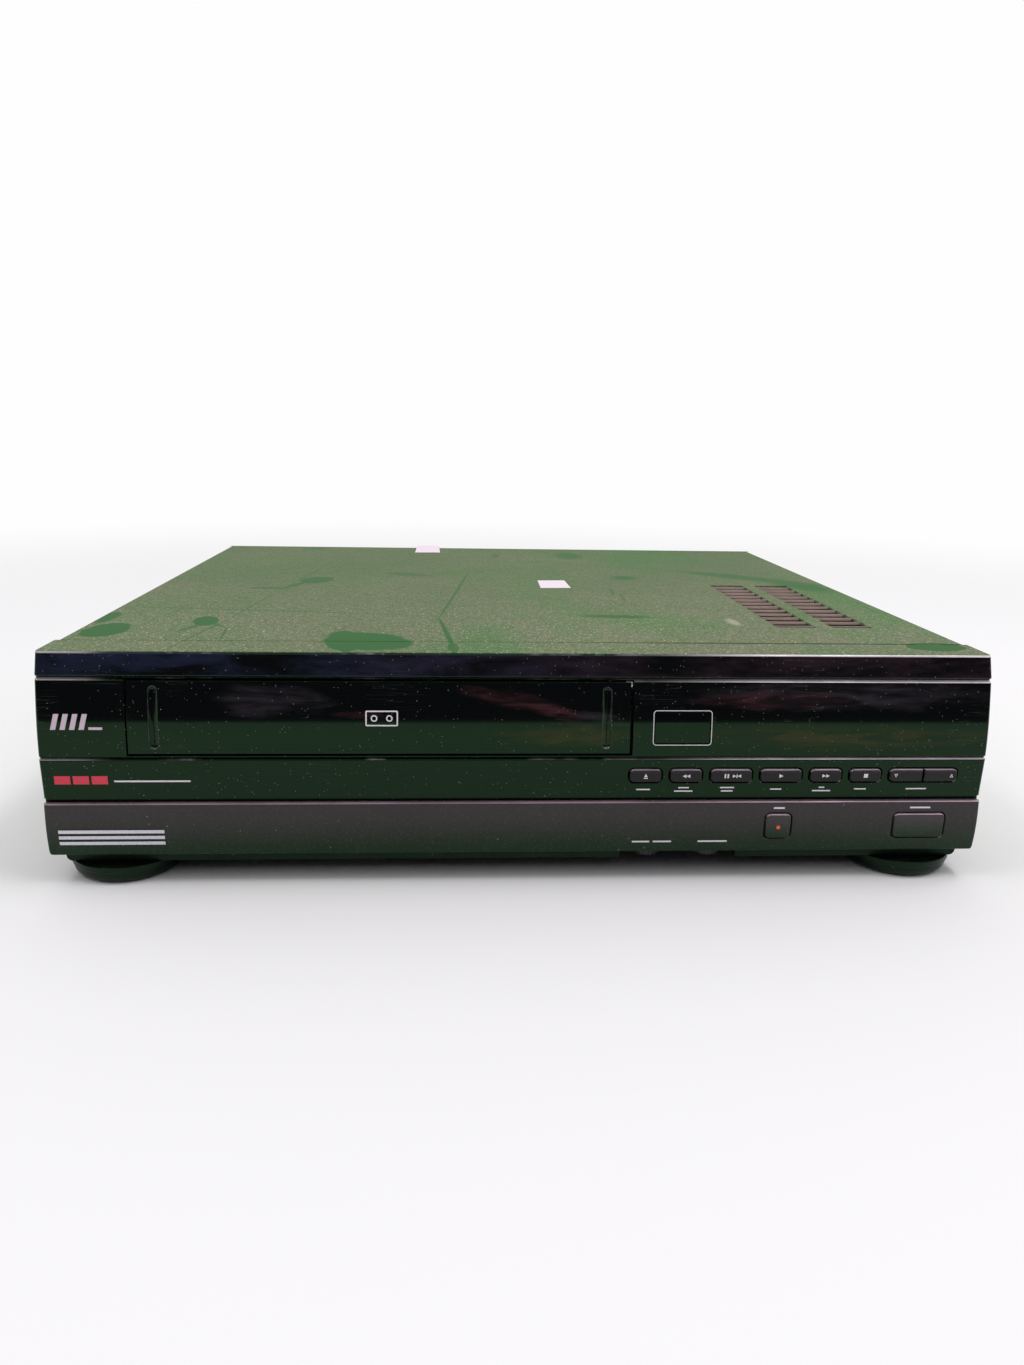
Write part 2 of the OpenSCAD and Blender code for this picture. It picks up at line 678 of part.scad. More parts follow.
module base_pan() color([0.13, 0.13, 0.14]) in_case() difference() {
  union() {
    difference() {
      along_y(0, pan_rear) polygon(round_box(-pan_half, foot_h, pan_half, floor_z + pan_wall_h,
        [pan_corner, pan_corner, gap, gap]));
      block([-pan_half + pan_t, pan_t, floor_z], [pan_half - pan_t, pan_rear - pan_t, z_top]);
    }
    for (p = foot_places) post(p[0], p[1], foot_h + eps, floor_z + boss_h, boss_r);
    for (p = deck_posts) post(p[0], p[1], floor_z - eps, deck_z, post_out);
    for (p = board_posts) post(p[0], p[1], floor_z - eps, board_z, post_out);
    for (s = [-1, 1], y = screw_y)
      block([s > 0 ? pan_half - pan_t : -cover_in + 0.1, y - pan_pad, floor_z],
        [s > 0 ? cover_in - 0.1 : -pan_half + pan_t, y + pan_pad, screw_z + pan_pad]);
  }
  block([notch_x, -1, 0], [notch_x + notch_w, wheel_y + wheel_r + 2, z_top]);
  for (p = foot_places) post(p[0], p[1], 0, floor_z + boss_h - 0.5, foot_screw_r + run);
  for (p = deck_posts) post(p[0], p[1], deck_z - 8, deck_z + 1, screw_r + run);
  for (p = board_posts) post(p[0], p[1], board_z - 6, board_z + 1, screw_r + run);
  for (y = screw_y) for (s = [-1, 1])
    rod_x(s > 0 ? cover_in - pan_inset - 1 : -cover_in - 1,
      s > 0 ? cover_in + 1 : -cover_in + pan_inset + 1, y, screw_z, screw_r + run);
}

// Rear panel and what passes through it
aerial_z = 52;
jack_x = [half_w - 72, half_w - 58];
jack_z = [44, 58];
jack_bore = 1.65;
collar = 0.2;
switch_x = half_w - 112;
switch_z = 34;
switch_w = 4;
switch_travel = 4;
inlet_x = half_w - 30;
inlet_z = 40;
inlet_w = 25;
inlet_h = 15;
rear_in = case_d - rear_t;
module rear_panel() color([0.1, 0.1, 0.11]) in_case() difference() {
  block([-rear_half, rear_in, foot_h], [rear_half, case_d, z_top - sheet - gap]);
  for (x = aerial_x) rod_y(x, rear_in - 1, case_d + 1, aerial_z, aerial_r + gap);
  for (x = jack_x, z = jack_z) rod_y(x, rear_in - over, case_d + over, z, jack_r + collar + gap);
  for (x = rear_screw_x) rod_y(x, rear_in - 1, case_d + 1, rear_screw_z, screw_r + run);
  block([switch_x - switch_w / 2 - gap, rear_in - 1, switch_z - switch_w / 2 - gap],
    [switch_x + switch_w / 2 + switch_travel + gap, case_d + 1, switch_z + switch_w / 2 + gap]);
  block([inlet_x - inlet_w / 2 - gap, rear_in - 1, inlet_z - inlet_h / 2 - gap],
    [inlet_x + inlet_w / 2 + gap, case_d + 1, inlet_z + inlet_h / 2 + gap]);
}

// The tuner box stands on the main board behind the aerial connectors
tuner_rear = rear_in - gap;
tuner_wall = 2;
module tuner_module() color([0.72, 0.73, 0.74]) in_case()
  difference() {
    block([aerial_x[0] - tuner_side, tuner_rear - tuner_d, board_top],
      [aerial_x[1] + tuner_side, tuner_rear, board_top + tuner_h]);
    block([aerial_x[0] - tuner_side + tuner_wall, tuner_rear - tuner_d + tuner_wall,
        board_top + tuner_h - 1],
      [aerial_x[1] + tuner_side - tuner_wall, tuner_rear - tuner_wall, board_top + tuner_h + over]);
  }

nut_t = 2.4;
module aerial_connectors() color([0.8, 0.8, 0.8]) in_case() for (x = aerial_x) difference() {
  union() {
    rod_y(x, tuner_rear, case_d + jack_l, aerial_z, aerial_r);
    translate([x, case_d, aerial_z]) rotate([-90, 0, 0]) cylinder(h = nut_t, r = aerial_r + 2.2, $fn = 6);
  }
  rod_y(x, case_d, case_d + jack_l + 1, aerial_z, 1.1);
}

jack_block_d = 10;
jack_block_edge = 7;
module video_audio_jacks() color([0.75, 0.72, 0.6]) in_case() {
  block([jack_x[0] - jack_block_edge, tuner_rear - jack_block_d, board_top],
    [jack_x[1] + jack_block_edge, tuner_rear, jack_z[1] + jack_block_edge]);
  for (x = jack_x, z = jack_z) difference() {
    union() {
      rod_y(x, tuner_rear - eps, case_d, z, jack_r + collar);
      rod_y(x, case_d - eps, case_d + jack_l, z, jack_r);
    }
    rod_y(x, case_d - over, case_d + jack_l + over, z, jack_bore);
  }
}

inlet_wall = 2.5;
inlet_deep = 14;
inlet_body = 16;
inlet_lip = 2;
inlet_foot = [10, 8];
pin_r = 1.15;
pin_x = 4.3;
module mains_inlet() color([0.05, 0.05, 0.05]) in_case() {
  difference() {
    union() {
      block([inlet_x - inlet_w / 2, rear_in - inlet_body, inlet_z - inlet_h / 2],
        [inlet_x + inlet_w / 2, case_d + 1, inlet_z + inlet_h / 2]);
      block([inlet_x - inlet_w / 2 - inlet_lip, rear_in - inlet_lip - gap, inlet_z - inlet_h / 2 - inlet_lip],
        [inlet_x + inlet_w / 2 + inlet_lip, rear_in - gap, inlet_z + inlet_h / 2 + inlet_lip]);
      block([inlet_x - inlet_foot[0] / 2, rear_in - inlet_foot[1] - inlet_lip, board_top],
        [inlet_x + inlet_foot[0] / 2, rear_in - inlet_lip, inlet_z]);
    }
    block([inlet_x - inlet_w / 2 + inlet_wall, case_d + 1 - inlet_deep, inlet_z - inlet_h / 2 + inlet_wall],
      [inlet_x + inlet_w / 2 - inlet_wall, case_d + 2, inlet_z + inlet_h / 2 - inlet_wall]);
  }
  for (s = [-1, 1]) rod_y(inlet_x + s * pin_x, case_d - inlet_deep, case_d - 2, inlet_z, pin_r);
}

module channel_switch() color([0.85, 0.85, 0.85]) in_case()
  block([switch_x - switch_w / 2, tuner_rear + 0.1, switch_z - switch_w / 2],
    [switch_x + switch_w / 2, case_d + 1.6, switch_z + switch_w / 2]);

// Key caps with a rim behind the wall and a stem towards its switch
stem_end = 2;
switch_face = stem_end + key_travel + 0.2;
pcb_y = switch_face + 2.8;
key_rim = 1;
stem_h = 1.6;
module key_cap(x, w, zc, h, face, back, ends)
  intersection() {
    along_y(-low_lean - corner_r, stem_end)
      polygon(round_box(x, zc - h / 2, x + w, zc + h / 2, [ends[0], ends[1], ends[1], ends[0]]));
    along_x(x - 1, x + w + 1) polygon(concat(face,
      [[back, zc - h / 2 - 1], [back, zc + h / 2 + 1]]));
  }
module key_rear(x, w, zc, h, back) {
  block([x, back - eps, zc - h / 2 - key_gap - key_rim], [x + w, back + 1, zc + h / 2 + key_gap + key_rim]);
  block([x + w / 2 - 2, back, zc - stem_h], [x + w / 2 + 2, stem_end, zc + stem_h]);
}
// Face of a strip key: it leans with the strip and is bevelled at its top and bottom
function key_face(zc, h) = [
  [key_y(zc + h / 2) + edge_cut - key_proud, zc + h / 2 + 1],
  [key_y(zc + h / 2) + edge_cut - key_proud, zc + h / 2],
  [key_y(zc + h / 2) - key_proud, zc + h / 2 - edge_cut],
  [key_y(zc - h / 2) - key_proud, zc - h / 2 + edge_cut],
  [key_y(zc - h / 2) + edge_cut - key_proud, zc - h / 2],
  [key_y(zc - h / 2) + edge_cut - key_proud, zc - h / 2 - 1]];
function low_key_face(zc, h) = concat(
  [[low_y(zc + h / 2) + edge_cut - low_proud, zc + h / 2 + 1]],
  [[low_y(zc + h / 2) + edge_cut - low_proud, zc + h / 2]],
  low_face(zc + h / 2 - edge_cut, zc - h / 2 + edge_cut, -low_proud),
  [[low_y(zc - h / 2) + edge_cut - low_proud, zc - h / 2]],
  [[low_y(zc - h / 2) + edge_cut - low_proud, zc - h / 2 - 1]]);
low_proud = 0.5;
module strip_key(i) color([0.07, 0.08, 0.08]) in_case() {
  let (x = key_left(i), w = key_width(i), back = key_y(z_key_end) + wall + gap,
    left_r = i == 7 ? gap : key_r, right_r = i == 6 ? gap : key_r) {
    key_cap(x, w, key_zc, key_h, key_face(key_zc, key_h), back, [left_r, right_r]);
    key_rear(x, w, key_zc, key_h, back);
  }
}
module low_key(x, w) color([0.2, 0.18, 0.21]) in_case() {
  let (back = wall - shelf_y + gap) {
    key_cap(x, w, low_key_zc, low_key_h, low_key_face(low_key_zc, low_key_h), back,
      [key_r, key_r]);
    key_rear(x, w, low_key_zc, low_key_h, back);
  }
}
module eject_button() strip_key(0);
module rewind_button() strip_key(1);
module pause_button() strip_key(2);
module play_button() strip_key(3);
module fast_forward_button() strip_key(4);
module stop_button() strip_key(5);
module channel_down_button() strip_key(6);
module channel_up_button() strip_key(7);
module record_button() low_key(record_x, record_w);
module power_button() low_key(power_x, power_w);

// Circuit board behind the keys, with one switch for each key and the remote receiver
pcb_edge = 4.4;
pcb_beside = 14;
pcb_x0 = min(key_x - pcb_edge, window_x - pcb_beside);
pcb_x1 = pan_half - pan_t - gap;
pcb_z0 = floor_z + boss_h + gap;
pcb_z1 = 50;
tact = 6;
module front_switch_board() color([0.1, 0.3, 0.12]) in_case() {
  difference() {
    union() {
      block([pcb_x0, pcb_y, pcb_z0], [pcb_x1, pcb_y + board_t, pcb_z1]);
      block([window_x - 2, pcb_y, pcb_z1 - 1], [window_x + window_w + 2, pcb_y + board_t, window_z1]);
    }
    for (x = pcb_posts) rod_y(x, pcb_y - 1, pcb_y + board_t + 1, pcb_post_z, screw_r);
  }
  for (i = [0 : key_count - 1])
    let (x = key_left(i) + key_width(i) / 2)
      block([x - tact / 2, switch_face, key_zc - tact / 2], [x + tact / 2, pcb_y + eps, key_zc + tact / 2]);
  for (x = [record_x + record_w / 2, power_x + power_w / 2])
    block([x - tact / 2, switch_face, low_key_zc - tact / 2],
      [x + tact / 2, pcb_y + eps, low_key_zc + tact / 2]);
  let (x = window_x + window_w / 2)
    block([x - 5, 0.5, window_z0 + 1], [x + 5, pcb_y + eps, window_z1 - 1]);
}
pcb_posts = [half_w - 144, half_w - 96, half_w - 42];
pcb_post_r = 3;
pcb_post_z = z_key_end - 2;

// Tracking wheels and the controls that they turn
wheel_lift = 0.8;
wheel_z0 = foot_h + wheel_lift;
control_z0 = wheel_z0 + wheel_t + 1.7;
control_w = 15;
module tracking_wheel_at(x) color([0.08, 0.08, 0.08]) in_case()
  difference() {
    union() {
      post(x, wheel_y, wheel_z0, wheel_z0 + wheel_t, wheel_r - 0.4);
      for (a = [0 : 20 : 340]) translate([x, wheel_y, wheel_z0]) rotate([0, 0, a])
        block([wheel_r - 1.2, -0.4, 0], [wheel_r, 0.4, wheel_t]);
    }
    post(x, wheel_y, wheel_z0 - 1, wheel_z0 + wheel_t + 1, post_r + run);
  }
module slow_tracking_wheel() tracking_wheel_at(slow_x);
module tracking_wheel() tracking_wheel_at(track_x);
module tracking_controls() color([0.2, 0.3, 0.5]) in_case() for (x = [slow_x, track_x]) {
  block([x - control_w / 2, wall - shelf_y + gap, control_z0], [x + control_w / 2, pcb_y, control_z0 + 7]);
  post(x, wheel_y, wheel_z0, control_z0 + 1, post_r);
}

// Main board: the right-hand column and a strip along the rear, with its parts
module board_outline() {
  block([board_x, board_front, board_z], [board_right, board_rear, board_top]);
  block([-pan_half + 6, board_inner, board_z], [board_x + eps, board_rear, board_top]);
}
board_w = board_right - board_x;
cap_y = 70;
cap_r = 5;
cap_h = 16;
rear_cap_r = 4;
chip_y = 100;
chip_w = 24;
chip_d = 10;
chip_h = 4;
chip_step = 40;
main_chip_y = 136;
main_chip_d = 32;
module main_board() color([0.12, 0.32, 0.14]) in_case() {
  difference() {
    board_outline();
    for (p = board_posts) post(p[0], p[1], board_z - 1, board_top + 1, screw_r + 0.2);
  }
  for (i = [0 : 3]) post(board_x + board_w * (0.16 + 0.14 * i), cap_y, board_top - eps,
    board_top + cap_h, cap_r);
  for (i = [0 : 2]) let (x = board_x + board_w * (0.12 + 0.28 * i))
    block([x, chip_y, board_top - eps], [x + board_w * 0.18, chip_y + chip_d, board_top + chip_h]);
  for (i = [0 : 3]) let (x = chip_step * (i + 1) - half_w)
    block([x, board_inner + 3, board_top - eps], [x + chip_w, board_inner + 3 + chip_d, board_top + chip_h]);
  for (i = [0 : 2]) post(chip_step * (i + 1.4) - half_w, board_rear - 8, board_top - eps,
    board_top + cap_h, rear_cap_r);
  block([board_x + board_w * 0.13, main_chip_y, board_top - eps],
    [board_x + board_w * 0.45, main_chip_y + main_chip_d, board_top + chip_h]);
}

// Power transformer: its iron core and its winding
core_x0 = half_w - core_w - 30;
core_y0 = 242;
core_wall = 7;
core_edge = 6;
module power_transformer() color([0.35, 0.33, 0.3]) in_case() {
  block([core_x0, core_y0, board_top], [core_x0 + core_w, core_y0 + core_d, board_top + core_h]);
  block([core_x0 + core_wall, core_y0 - winding_out, board_top + core_edge],
    [core_x0 + core_w - core_wall, core_y0 + core_d + winding_out, board_top + core_h - core_edge]);
}

// Heat sink with upright fins
sink_x0 = board_x + 10;
sink_y0 = 186;
sink_wall = 3;
fin_t = 1.6;
fin_count = 7;
module heat_sink() color([0.75, 0.76, 0.78]) in_case() {
  block([sink_x0, sink_y0, board_top], [sink_x0 + sink_w, sink_y0 + sink_wall, board_top + sink_h]);
  for (i = [0 : fin_count - 1]) let (x = sink_x0 + (sink_w - fin_t) * i / (fin_count - 1))
    block([x, sink_y0 + sink_wall - eps, board_top], [x + fin_t, sink_y0 + sink_d, board_top + sink_h]);
}

// Screws of the deck, of the main board and of the front board
deck_bite = 6;
module chassis_screws() color([0.75, 0.75, 0.77]) in_case() {
  for (p = deck_posts) translate([p[0], p[1], deck_top]) rotate([180, 0, 0])
    screw(deck_t + deck_bite, screw_r, head_r, 1.8);
  for (p = board_posts) translate([p[0], p[1], board_top]) rotate([180, 0, 0])
    screw(board_t + 5, screw_r, head_r, 1.8);
  for (x = pcb_posts) translate([x, pcb_y + board_t, pcb_post_z]) rotate([90, 0, 0])
    screw(board_t + 4, screw_r, head_r, 1.6);
}

// Places on the deck, as (x, y) from the deck's centre and the front edge
function deck(p) = [deck_x + p[0], p[1]];
supply = deck([-reel_x, reel_y]);
takeup = deck([reel_x, reel_y]);
drum = deck([0, drum_y]);
capstan_c = deck([capstan_x, capstan_y]);
clutch = deck([0, clutch_y]);
cam = deck([cam_x, cam_y]);
gear_gap = 0.1;
pinion = [cam[0] + (cam_teeth + pinion_teeth) * gear_m / 2 + gear_gap, cam[1]];
pinch_pivot = deck([86, 204]);
pinch_arm_l = 22.9;
pinch_rest = 167.3;
pinch = [pinch_pivot[0] + pinch_arm_l * cos(pinch_rest), pinch_pivot[1] + pinch_arm_l * sin(pinch_rest)];
tension_pivot = deck([-78, 188]);
tension_arm_l = 22;
tension_rest = -20;
guide_x = 30;
guide_y = 184;
guide_turn = atan2(12, 48);
// Heights over the deck plate
tall = 26;
head_h = 20;
disc_z0 = 0.3;
disc_z1 = 5.5;

// Upright slot for a guide block's stem, on one side of the deck
module guide_slot(s)
  translate([deck_x + s * guide_x, guide_y, deck_z - 1]) rotate([0, 0, -s * guide_turn])
    block([-post_r - gap, -post_r - gap, 0], [post_r + gap, guide_travel + post_r + gap, deck_t + 2]);

reel_post_h = 17;
cam_post_h = 7;
module deck_plate() color([0.62, 0.63, 0.65]) in_case() {
  difference() {
    block([deck_x - deck_half, deck_front, deck_z], [deck_x + deck_half, deck_rear, deck_top]);
    for (p = deck_posts) post(p[0], p[1], deck_z - 1, deck_top + 1, screw_r + 0.2);
    post(drum[0], drum[1], deck_z - 1, deck_top + 1, drum_shaft_r + 3);
    post(capstan_c[0], capstan_c[1], deck_z - 1, deck_top + 1, bearing_r + run);
    post(clutch[0], clutch[1], deck_z - 1, deck_top + 1, post_r + run);
    post(pinion[0], pinion[1], deck_z - 1, deck_top + 1, post_r + run);
    for (s = [-1, 1]) guide_slot(s);
  }
  for (p = [supply, takeup]) post(p[0], p[1], deck_z, deck_top + reel_post_h, post_r);
  post(cam[0], cam[1], deck_z, deck_top + cam_post_h, post_r);
  post(pinch_pivot[0], pinch_pivot[1], deck_z, deck_top + swing_z1 + 1, post_r);
  post(tension_pivot[0], tension_pivot[1], deck_z, deck_top + swing_z1 + 1, post_r);
}

// A reel table: disc, hub and three driving fins round its post
module reel_table(p) color([0.12, 0.12, 0.13]) in_case()
  translate([p[0], p[1], deck_top]) difference() {
    union() {
      post(0, 0, disc_z0, disc_z1, reel_r);
      post(0, 0, disc_z0, 15, 6);
      for (a = [90, 210, 330]) rotate([0, 0, a]) block([0, -1, disc_z0], [8.5, 1, 14]);
    }
    post(0, 0, -1, 16, post_r + run);
  }
module supply_reel_table() reel_table(supply);
module takeup_reel_table() reel_table(takeup);

// The drum's tilted frame, with its origin on the deck plate
module on_drum() translate([drum[0], drum[1], deck_top]) rotate([-drum_tilt, 0, 0]) children();
drum_base = 4;
drum_split = drum_base + lower_drum_h;
rotor_z0 = -14;
rotor_z1 = -9;
rotor_r = 25;
module lower_drum() color([0.75, 0.76, 0.78]) in_case() difference() {
  union() {
    on_drum() post(0, 0, drum_base, drum_split, drum_r);
    post(drum[0], drum[1], deck_top, deck_top + drum_base + 6, drum_r - 7);
  }
  on_drum() post(0, 0, -8, drum_split + 1, drum_shaft_r + run);
}
module upper_drum() color([0.85, 0.86, 0.88]) in_case() on_drum() {
  difference() {
    post(0, 0, drum_split + gap, drum_split + gap + upper_drum_h, drum_r);
    for (a = [45 : 90 : 315]) rotate([0, 0, a])
      block([drum_r - 2, -3, drum_split], [drum_r + 1, 3, drum_split + 3]);
  }
  post(0, 0, rotor_z0 - 1, drum_split + gap + upper_drum_h + 3, drum_shaft_r);
}
module drum_rotor() color([0.3, 0.3, 0.32]) in_case() on_drum() difference() {
  post(0, 0, rotor_z0, rotor_z1, rotor_r);
  post(0, 0, rotor_z0 - 1, rotor_z1 + 1, drum_shaft_r + 0.01);
}

// Capstan: shaft, belt pulley and flywheel, in its bearing
bearing_r = 5.8;
flywheel_z0 = deck_z - 11;
pulley_z0 = deck_z - 5.5;
pulley_z1 = deck_z - 2.3;
module capstan() color([0.7, 0.71, 0.73]) in_case() {
  post(capstan_c[0], capstan_c[1], flywheel_z0, deck_top + tall, post_r);
  post(capstan_c[0], capstan_c[1], flywheel_z0, pulley_z0, flywheel_r);
  post(capstan_c[0], capstan_c[1], pulley_z0 - eps, pulley_z1, capstan_pulley_r);
}
module capstan_bearing() color([0.8, 0.62, 0.3]) in_case() difference() {
  union() {
    post(capstan_c[0], capstan_c[1], deck_z - 1.6, deck_top + 6, bearing_r);
    post(capstan_c[0], capstan_c[1], deck_top, deck_top + 1.6, bearing_r + 3);
  }
  post(capstan_c[0], capstan_c[1], deck_z - 3, deck_top + 7, post_r + run);
}

// Drive belt from the capstan's pulley to the clutch's pulley: two arcs and their tangents
belt_gap = 0.1;
belt_run = norm(capstan_c - clutch);
belt_dir = atan2(capstan_c[1] - clutch[1], capstan_c[0] - clutch[0]);
belt_open = acos((clutch_pulley_r - capstan_pulley_r) / belt_run);
function belt_line(extra) = concat(
  arc(clutch[0], clutch[1], clutch_pulley_r + extra, belt_dir + belt_open, belt_dir + 360 - belt_open, 24),
  arc(capstan_c[0], capstan_c[1], capstan_pulley_r + extra, belt_dir - belt_open, belt_dir + belt_open, 16));
module drive_belt() color([0.03, 0.03, 0.03]) in_case()
  translate([0, 0, pulley_z0 + 0.4]) difference() {
    linear_extrude(pulley_z1 - pulley_z0 - 0.8) polygon(belt_line(belt_gap + belt_t));
    translate([0, 0, -1]) linear_extrude(pulley_z1 - pulley_z0 + 2) polygon(belt_line(belt_gap));
  }

// Clutch: pulley under the deck, shaft through it and roller above it
module clutch_pulley() color([0.15, 0.15, 0.16]) in_case() {
  post(clutch[0], clutch[1], pulley_z0, pulley_z1, clutch_pulley_r);
  post(clutch[0], clutch[1], pulley_z0 - 2, deck_top + 7, post_r);
  post(clutch[0], clutch[1], deck_top + 1.8, deck_top + disc_z1, clutch_r);
}

// Idler arm round the clutch's shaft, and the wheel on its pin
idler_l = clutch_r + idler_r + gap;
idler = [clutch[0], clutch[1] - idler_l];
arm_z0 = 0.4;
arm_z1 = 1.4;
module idler_arm() color([0.66, 0.67, 0.7]) in_case() {
  difference() {
    union() {
      post(clutch[0], clutch[1], deck_top + arm_z0, deck_top + arm_z1, 4);
      post(idler[0], idler[1], deck_top + arm_z0, deck_top + arm_z1, 4);
      block([clutch[0] - 3, idler[1], deck_top + arm_z0], [clutch[0] + 3, clutch[1], deck_top + arm_z1]);
    }
    post(clutch[0], clutch[1], deck_top, deck_top + 3, post_r + run);
  }
  post(idler[0], idler[1], deck_top + arm_z0, deck_top + 7, post_r);
}
module idler_wheel() color([0.06, 0.06, 0.06]) in_case() difference() {
  post(idler[0], idler[1], deck_top + 1.8, deck_top + disc_z1, idler_r);
  post(idler[0], idler[1], deck_top, deck_top + 8, post_r + run);
}

// Pinch arm, swung away from the capstan, and its rubber roller
swing_z0 = 6.4;
swing_z1 = 7.6;
module swing_arm(pivot, l, a, tip_r, tip_z) {
  difference() {
    translate([pivot[0], pivot[1], deck_top]) rotate([0, 0, a]) union() {
      post(0, 0, swing_z0, swing_z1, 4);
      post(l, 0, swing_z0, swing_z1, 4);
      block([0, -3, swing_z0], [l, 3, swing_z1]);
    }
    post(pivot[0], pivot[1], deck_top, deck_top + swing_z1 + 1, post_r + run);
  }
  translate([pivot[0], pivot[1], deck_top]) rotate([0, 0, a]) post(l, 0, swing_z0, tip_z, tip_r);
}
module pinch_arm() color([0.66, 0.67, 0.7]) in_case()
  swing_arm(pinch_pivot, pinch_arm_l, pinch_rest, post_r, tall);
module pinch_roller() color([0.05, 0.05, 0.05]) in_case() difference() {
  post(pinch[0], pinch[1], deck_top + 8, deck_top + tall - 2, pinch_r);
  post(pinch[0], pinch[1], deck_top + 7, deck_top + tall, post_r + run);
}
module tension_arm() color([0.66, 0.67, 0.7]) in_case()
  swing_arm(tension_pivot, tension_arm_l, tension_rest, 2, tall);

// Guide block: foot, stem through the deck's slot, and roller post
module guide_block(s) color([0.78, 0.79, 0.8]) in_case() {
  post(deck_x + s * guide_x, guide_y, deck_top + gap, deck_top + 5, 7);
  post(deck_x + s * guide_x, guide_y, deck_z - 1.5, deck_top + tall, post_r);
  post(deck_x + s * guide_x, guide_y, deck_top + 9, deck_top + tall - 1, 3);
}
module supply_guide_block() guide_block(-1);
module takeup_guide_block() guide_block(1);

// Heads that stand on the deck beside the tape's path
erase_head = deck([-62, 206]);
module full_erase_head() color([0.6, 0.6, 0.62]) in_case()
  translate([erase_head[0], erase_head[1], deck_top]) {
    block([-5, -4, 0], [5, 4, head_h]);
    block([-8, -2, 0], [8, 8, 2]);
  }
audio_head = deck([57, 222.5]);
audio_turn = -30;
module audio_control_head() color([0.62, 0.62, 0.64]) in_case()
  translate([audio_head[0], audio_head[1], deck_top]) rotate([0, 0, audio_turn]) {
    block([-4, -3, 0], [4, 3, head_h]);
    block([-5, 0, 0], [5, 7, 3]);
  }

// Gears of the loading train, with straight-sided teeth
function gear_line(n, r, turn) = [for (i = [0 : n - 1], k = [0 : 3])
  let (a = turn + 360 * (i + [-0.30, -0.13, 0.13, 0.30][k]) / n,
    rr = k == 0 || k == 3 ? r - gear_m * 1.25 : r + gear_m * 0.9)
  [rr * cos(a), rr * sin(a)]];
gear_z0 = 0.6;
gear_z1 = 5;
module cam_gear() color([0.85, 0.85, 0.8]) in_case()
  translate([cam[0], cam[1], deck_top]) difference() {
    union() {
      translate([0, 0, gear_z0]) linear_extrude(gear_z1 - gear_z0)
        polygon(gear_line(cam_teeth, cam_teeth * gear_m / 2, 180 / cam_teeth));
      post(0, 0, gear_z0, gear_z1 + 1.5, 5);
    }
    post(0, 0, 0, gear_z1 + 3, post_r + run);
  }
module loading_pinion() color([0.85, 0.85, 0.8]) in_case() {
  translate([pinion[0], pinion[1], deck_top + gear_z0]) rotate([0, 0, 180])
    linear_extrude(gear_z1 - gear_z0)
      polygon(gear_line(pinion_teeth, pinion_teeth * gear_m / 2, 0));
  post(pinion[0], pinion[1], deck_z - 4, deck_top + gear_z1 + 1, post_r);
}
motor_r = 11;
module loading_motor() color([0.7, 0.7, 0.72]) in_case() difference() {
  post(pinion[0], pinion[1], floor_z + 2, deck_z, motor_r);
  post(pinion[0], pinion[1], deck_z - 4 - run, deck_z + 1, post_r + run);
}

// Cassette holder, the frame that carries it, and the brackets that guide the frame
slot_floor = door_z0 + door_gap;
holder_top = slot_floor + cassette_t + cassette_play;
holder_rear = holder_y + holder_d;
drop_pin = [holder_y + holder_d * 0.4, slot_floor + 11];
frame_pins = [drop_pin[0] - 17, drop_pin[0] + 17];
frame_pin_z = slot_floor + 17.5;
frame_rise = 3.2;
frame_top = holder_top + holder_t + frame_rise;
arm_front = holder_y + 12;
arm_rear = frame_pins[1] + 6;
arm_edge = 6;
bar_d = 14;
module cassette_holder() color([0.66, 0.67, 0.68]) in_case() {
  block([deck_x - holder_half - holder_t, holder_y, holder_top],
    [deck_x + holder_half + holder_t, holder_rear, holder_top + holder_t]);
  for (s = [-1, 1]) translate([deck_x, 0, 0]) mirror([s < 0 ? 1 : 0, 0, 0]) {
    block([holder_half, holder_y, slot_floor - holder_t],
      [holder_half + holder_t, holder_rear, holder_top + eps]);
    block([holder_half - holder_ledge, holder_y, slot_floor - holder_t],
      [holder_half + eps, holder_rear, slot_floor]);
    rod_x(holder_half + holder_t - eps, arm_out - 0.1, drop_pin[0], drop_pin[1], post_r);
  }
}
module carriage_frame() color([0.55, 0.56, 0.58]) in_case() {
  for (s = [-1, 1]) translate([deck_x, 0, 0]) mirror([s < 0 ? 1 : 0, 0, 0]) {
    difference() {
      block([arm_in, arm_front, drop_pin[1] - holder_drop - arm_edge], [arm_out, arm_rear, frame_top]);
      block([arm_in - 1, drop_pin[0] - post_r - run, drop_pin[1] - holder_drop - post_r - run],
        [arm_out + 1, drop_pin[0] + post_r + run, drop_pin[1] + post_r + run]);
    }
    for (y = frame_pins) rod_x(arm_out - eps, plate_out + 1, y, frame_pin_z, post_r);
  }
  block([deck_x - arm_out, drop_pin[0] - bar_d / 2, frame_top - holder_t],
    [deck_x + arm_out, drop_pin[0] + bar_d / 2, frame_top]);
}
bracket_rear = frame_pins[1] + holder_in + 12;
foot_w = 5;
module carriage_bracket(s) color([0.6, 0.61, 0.63]) in_case()
  translate([deck_x, 0, 0]) mirror([s < 0 ? 1 : 0, 0, 0]) {
    difference() {
      block([plate_in, deck_front, deck_top], [plate_out, bracket_rear, frame_top]);
      block([plate_in - 1, frame_pins[0] - post_r - run, frame_pin_z - post_r - run],
        [plate_out + 1, frame_pins[1] + holder_in + post_r + run, frame_pin_z + post_r + run]);
    }
    block([plate_in - foot_w, deck_front + 14, deck_top], [plate_in + eps, bracket_rear, deck_top + plate_t]);
  }
module carriage_left_bracket() carriage_bracket(-1);
module carriage_right_bracket() carriage_bracket(1);

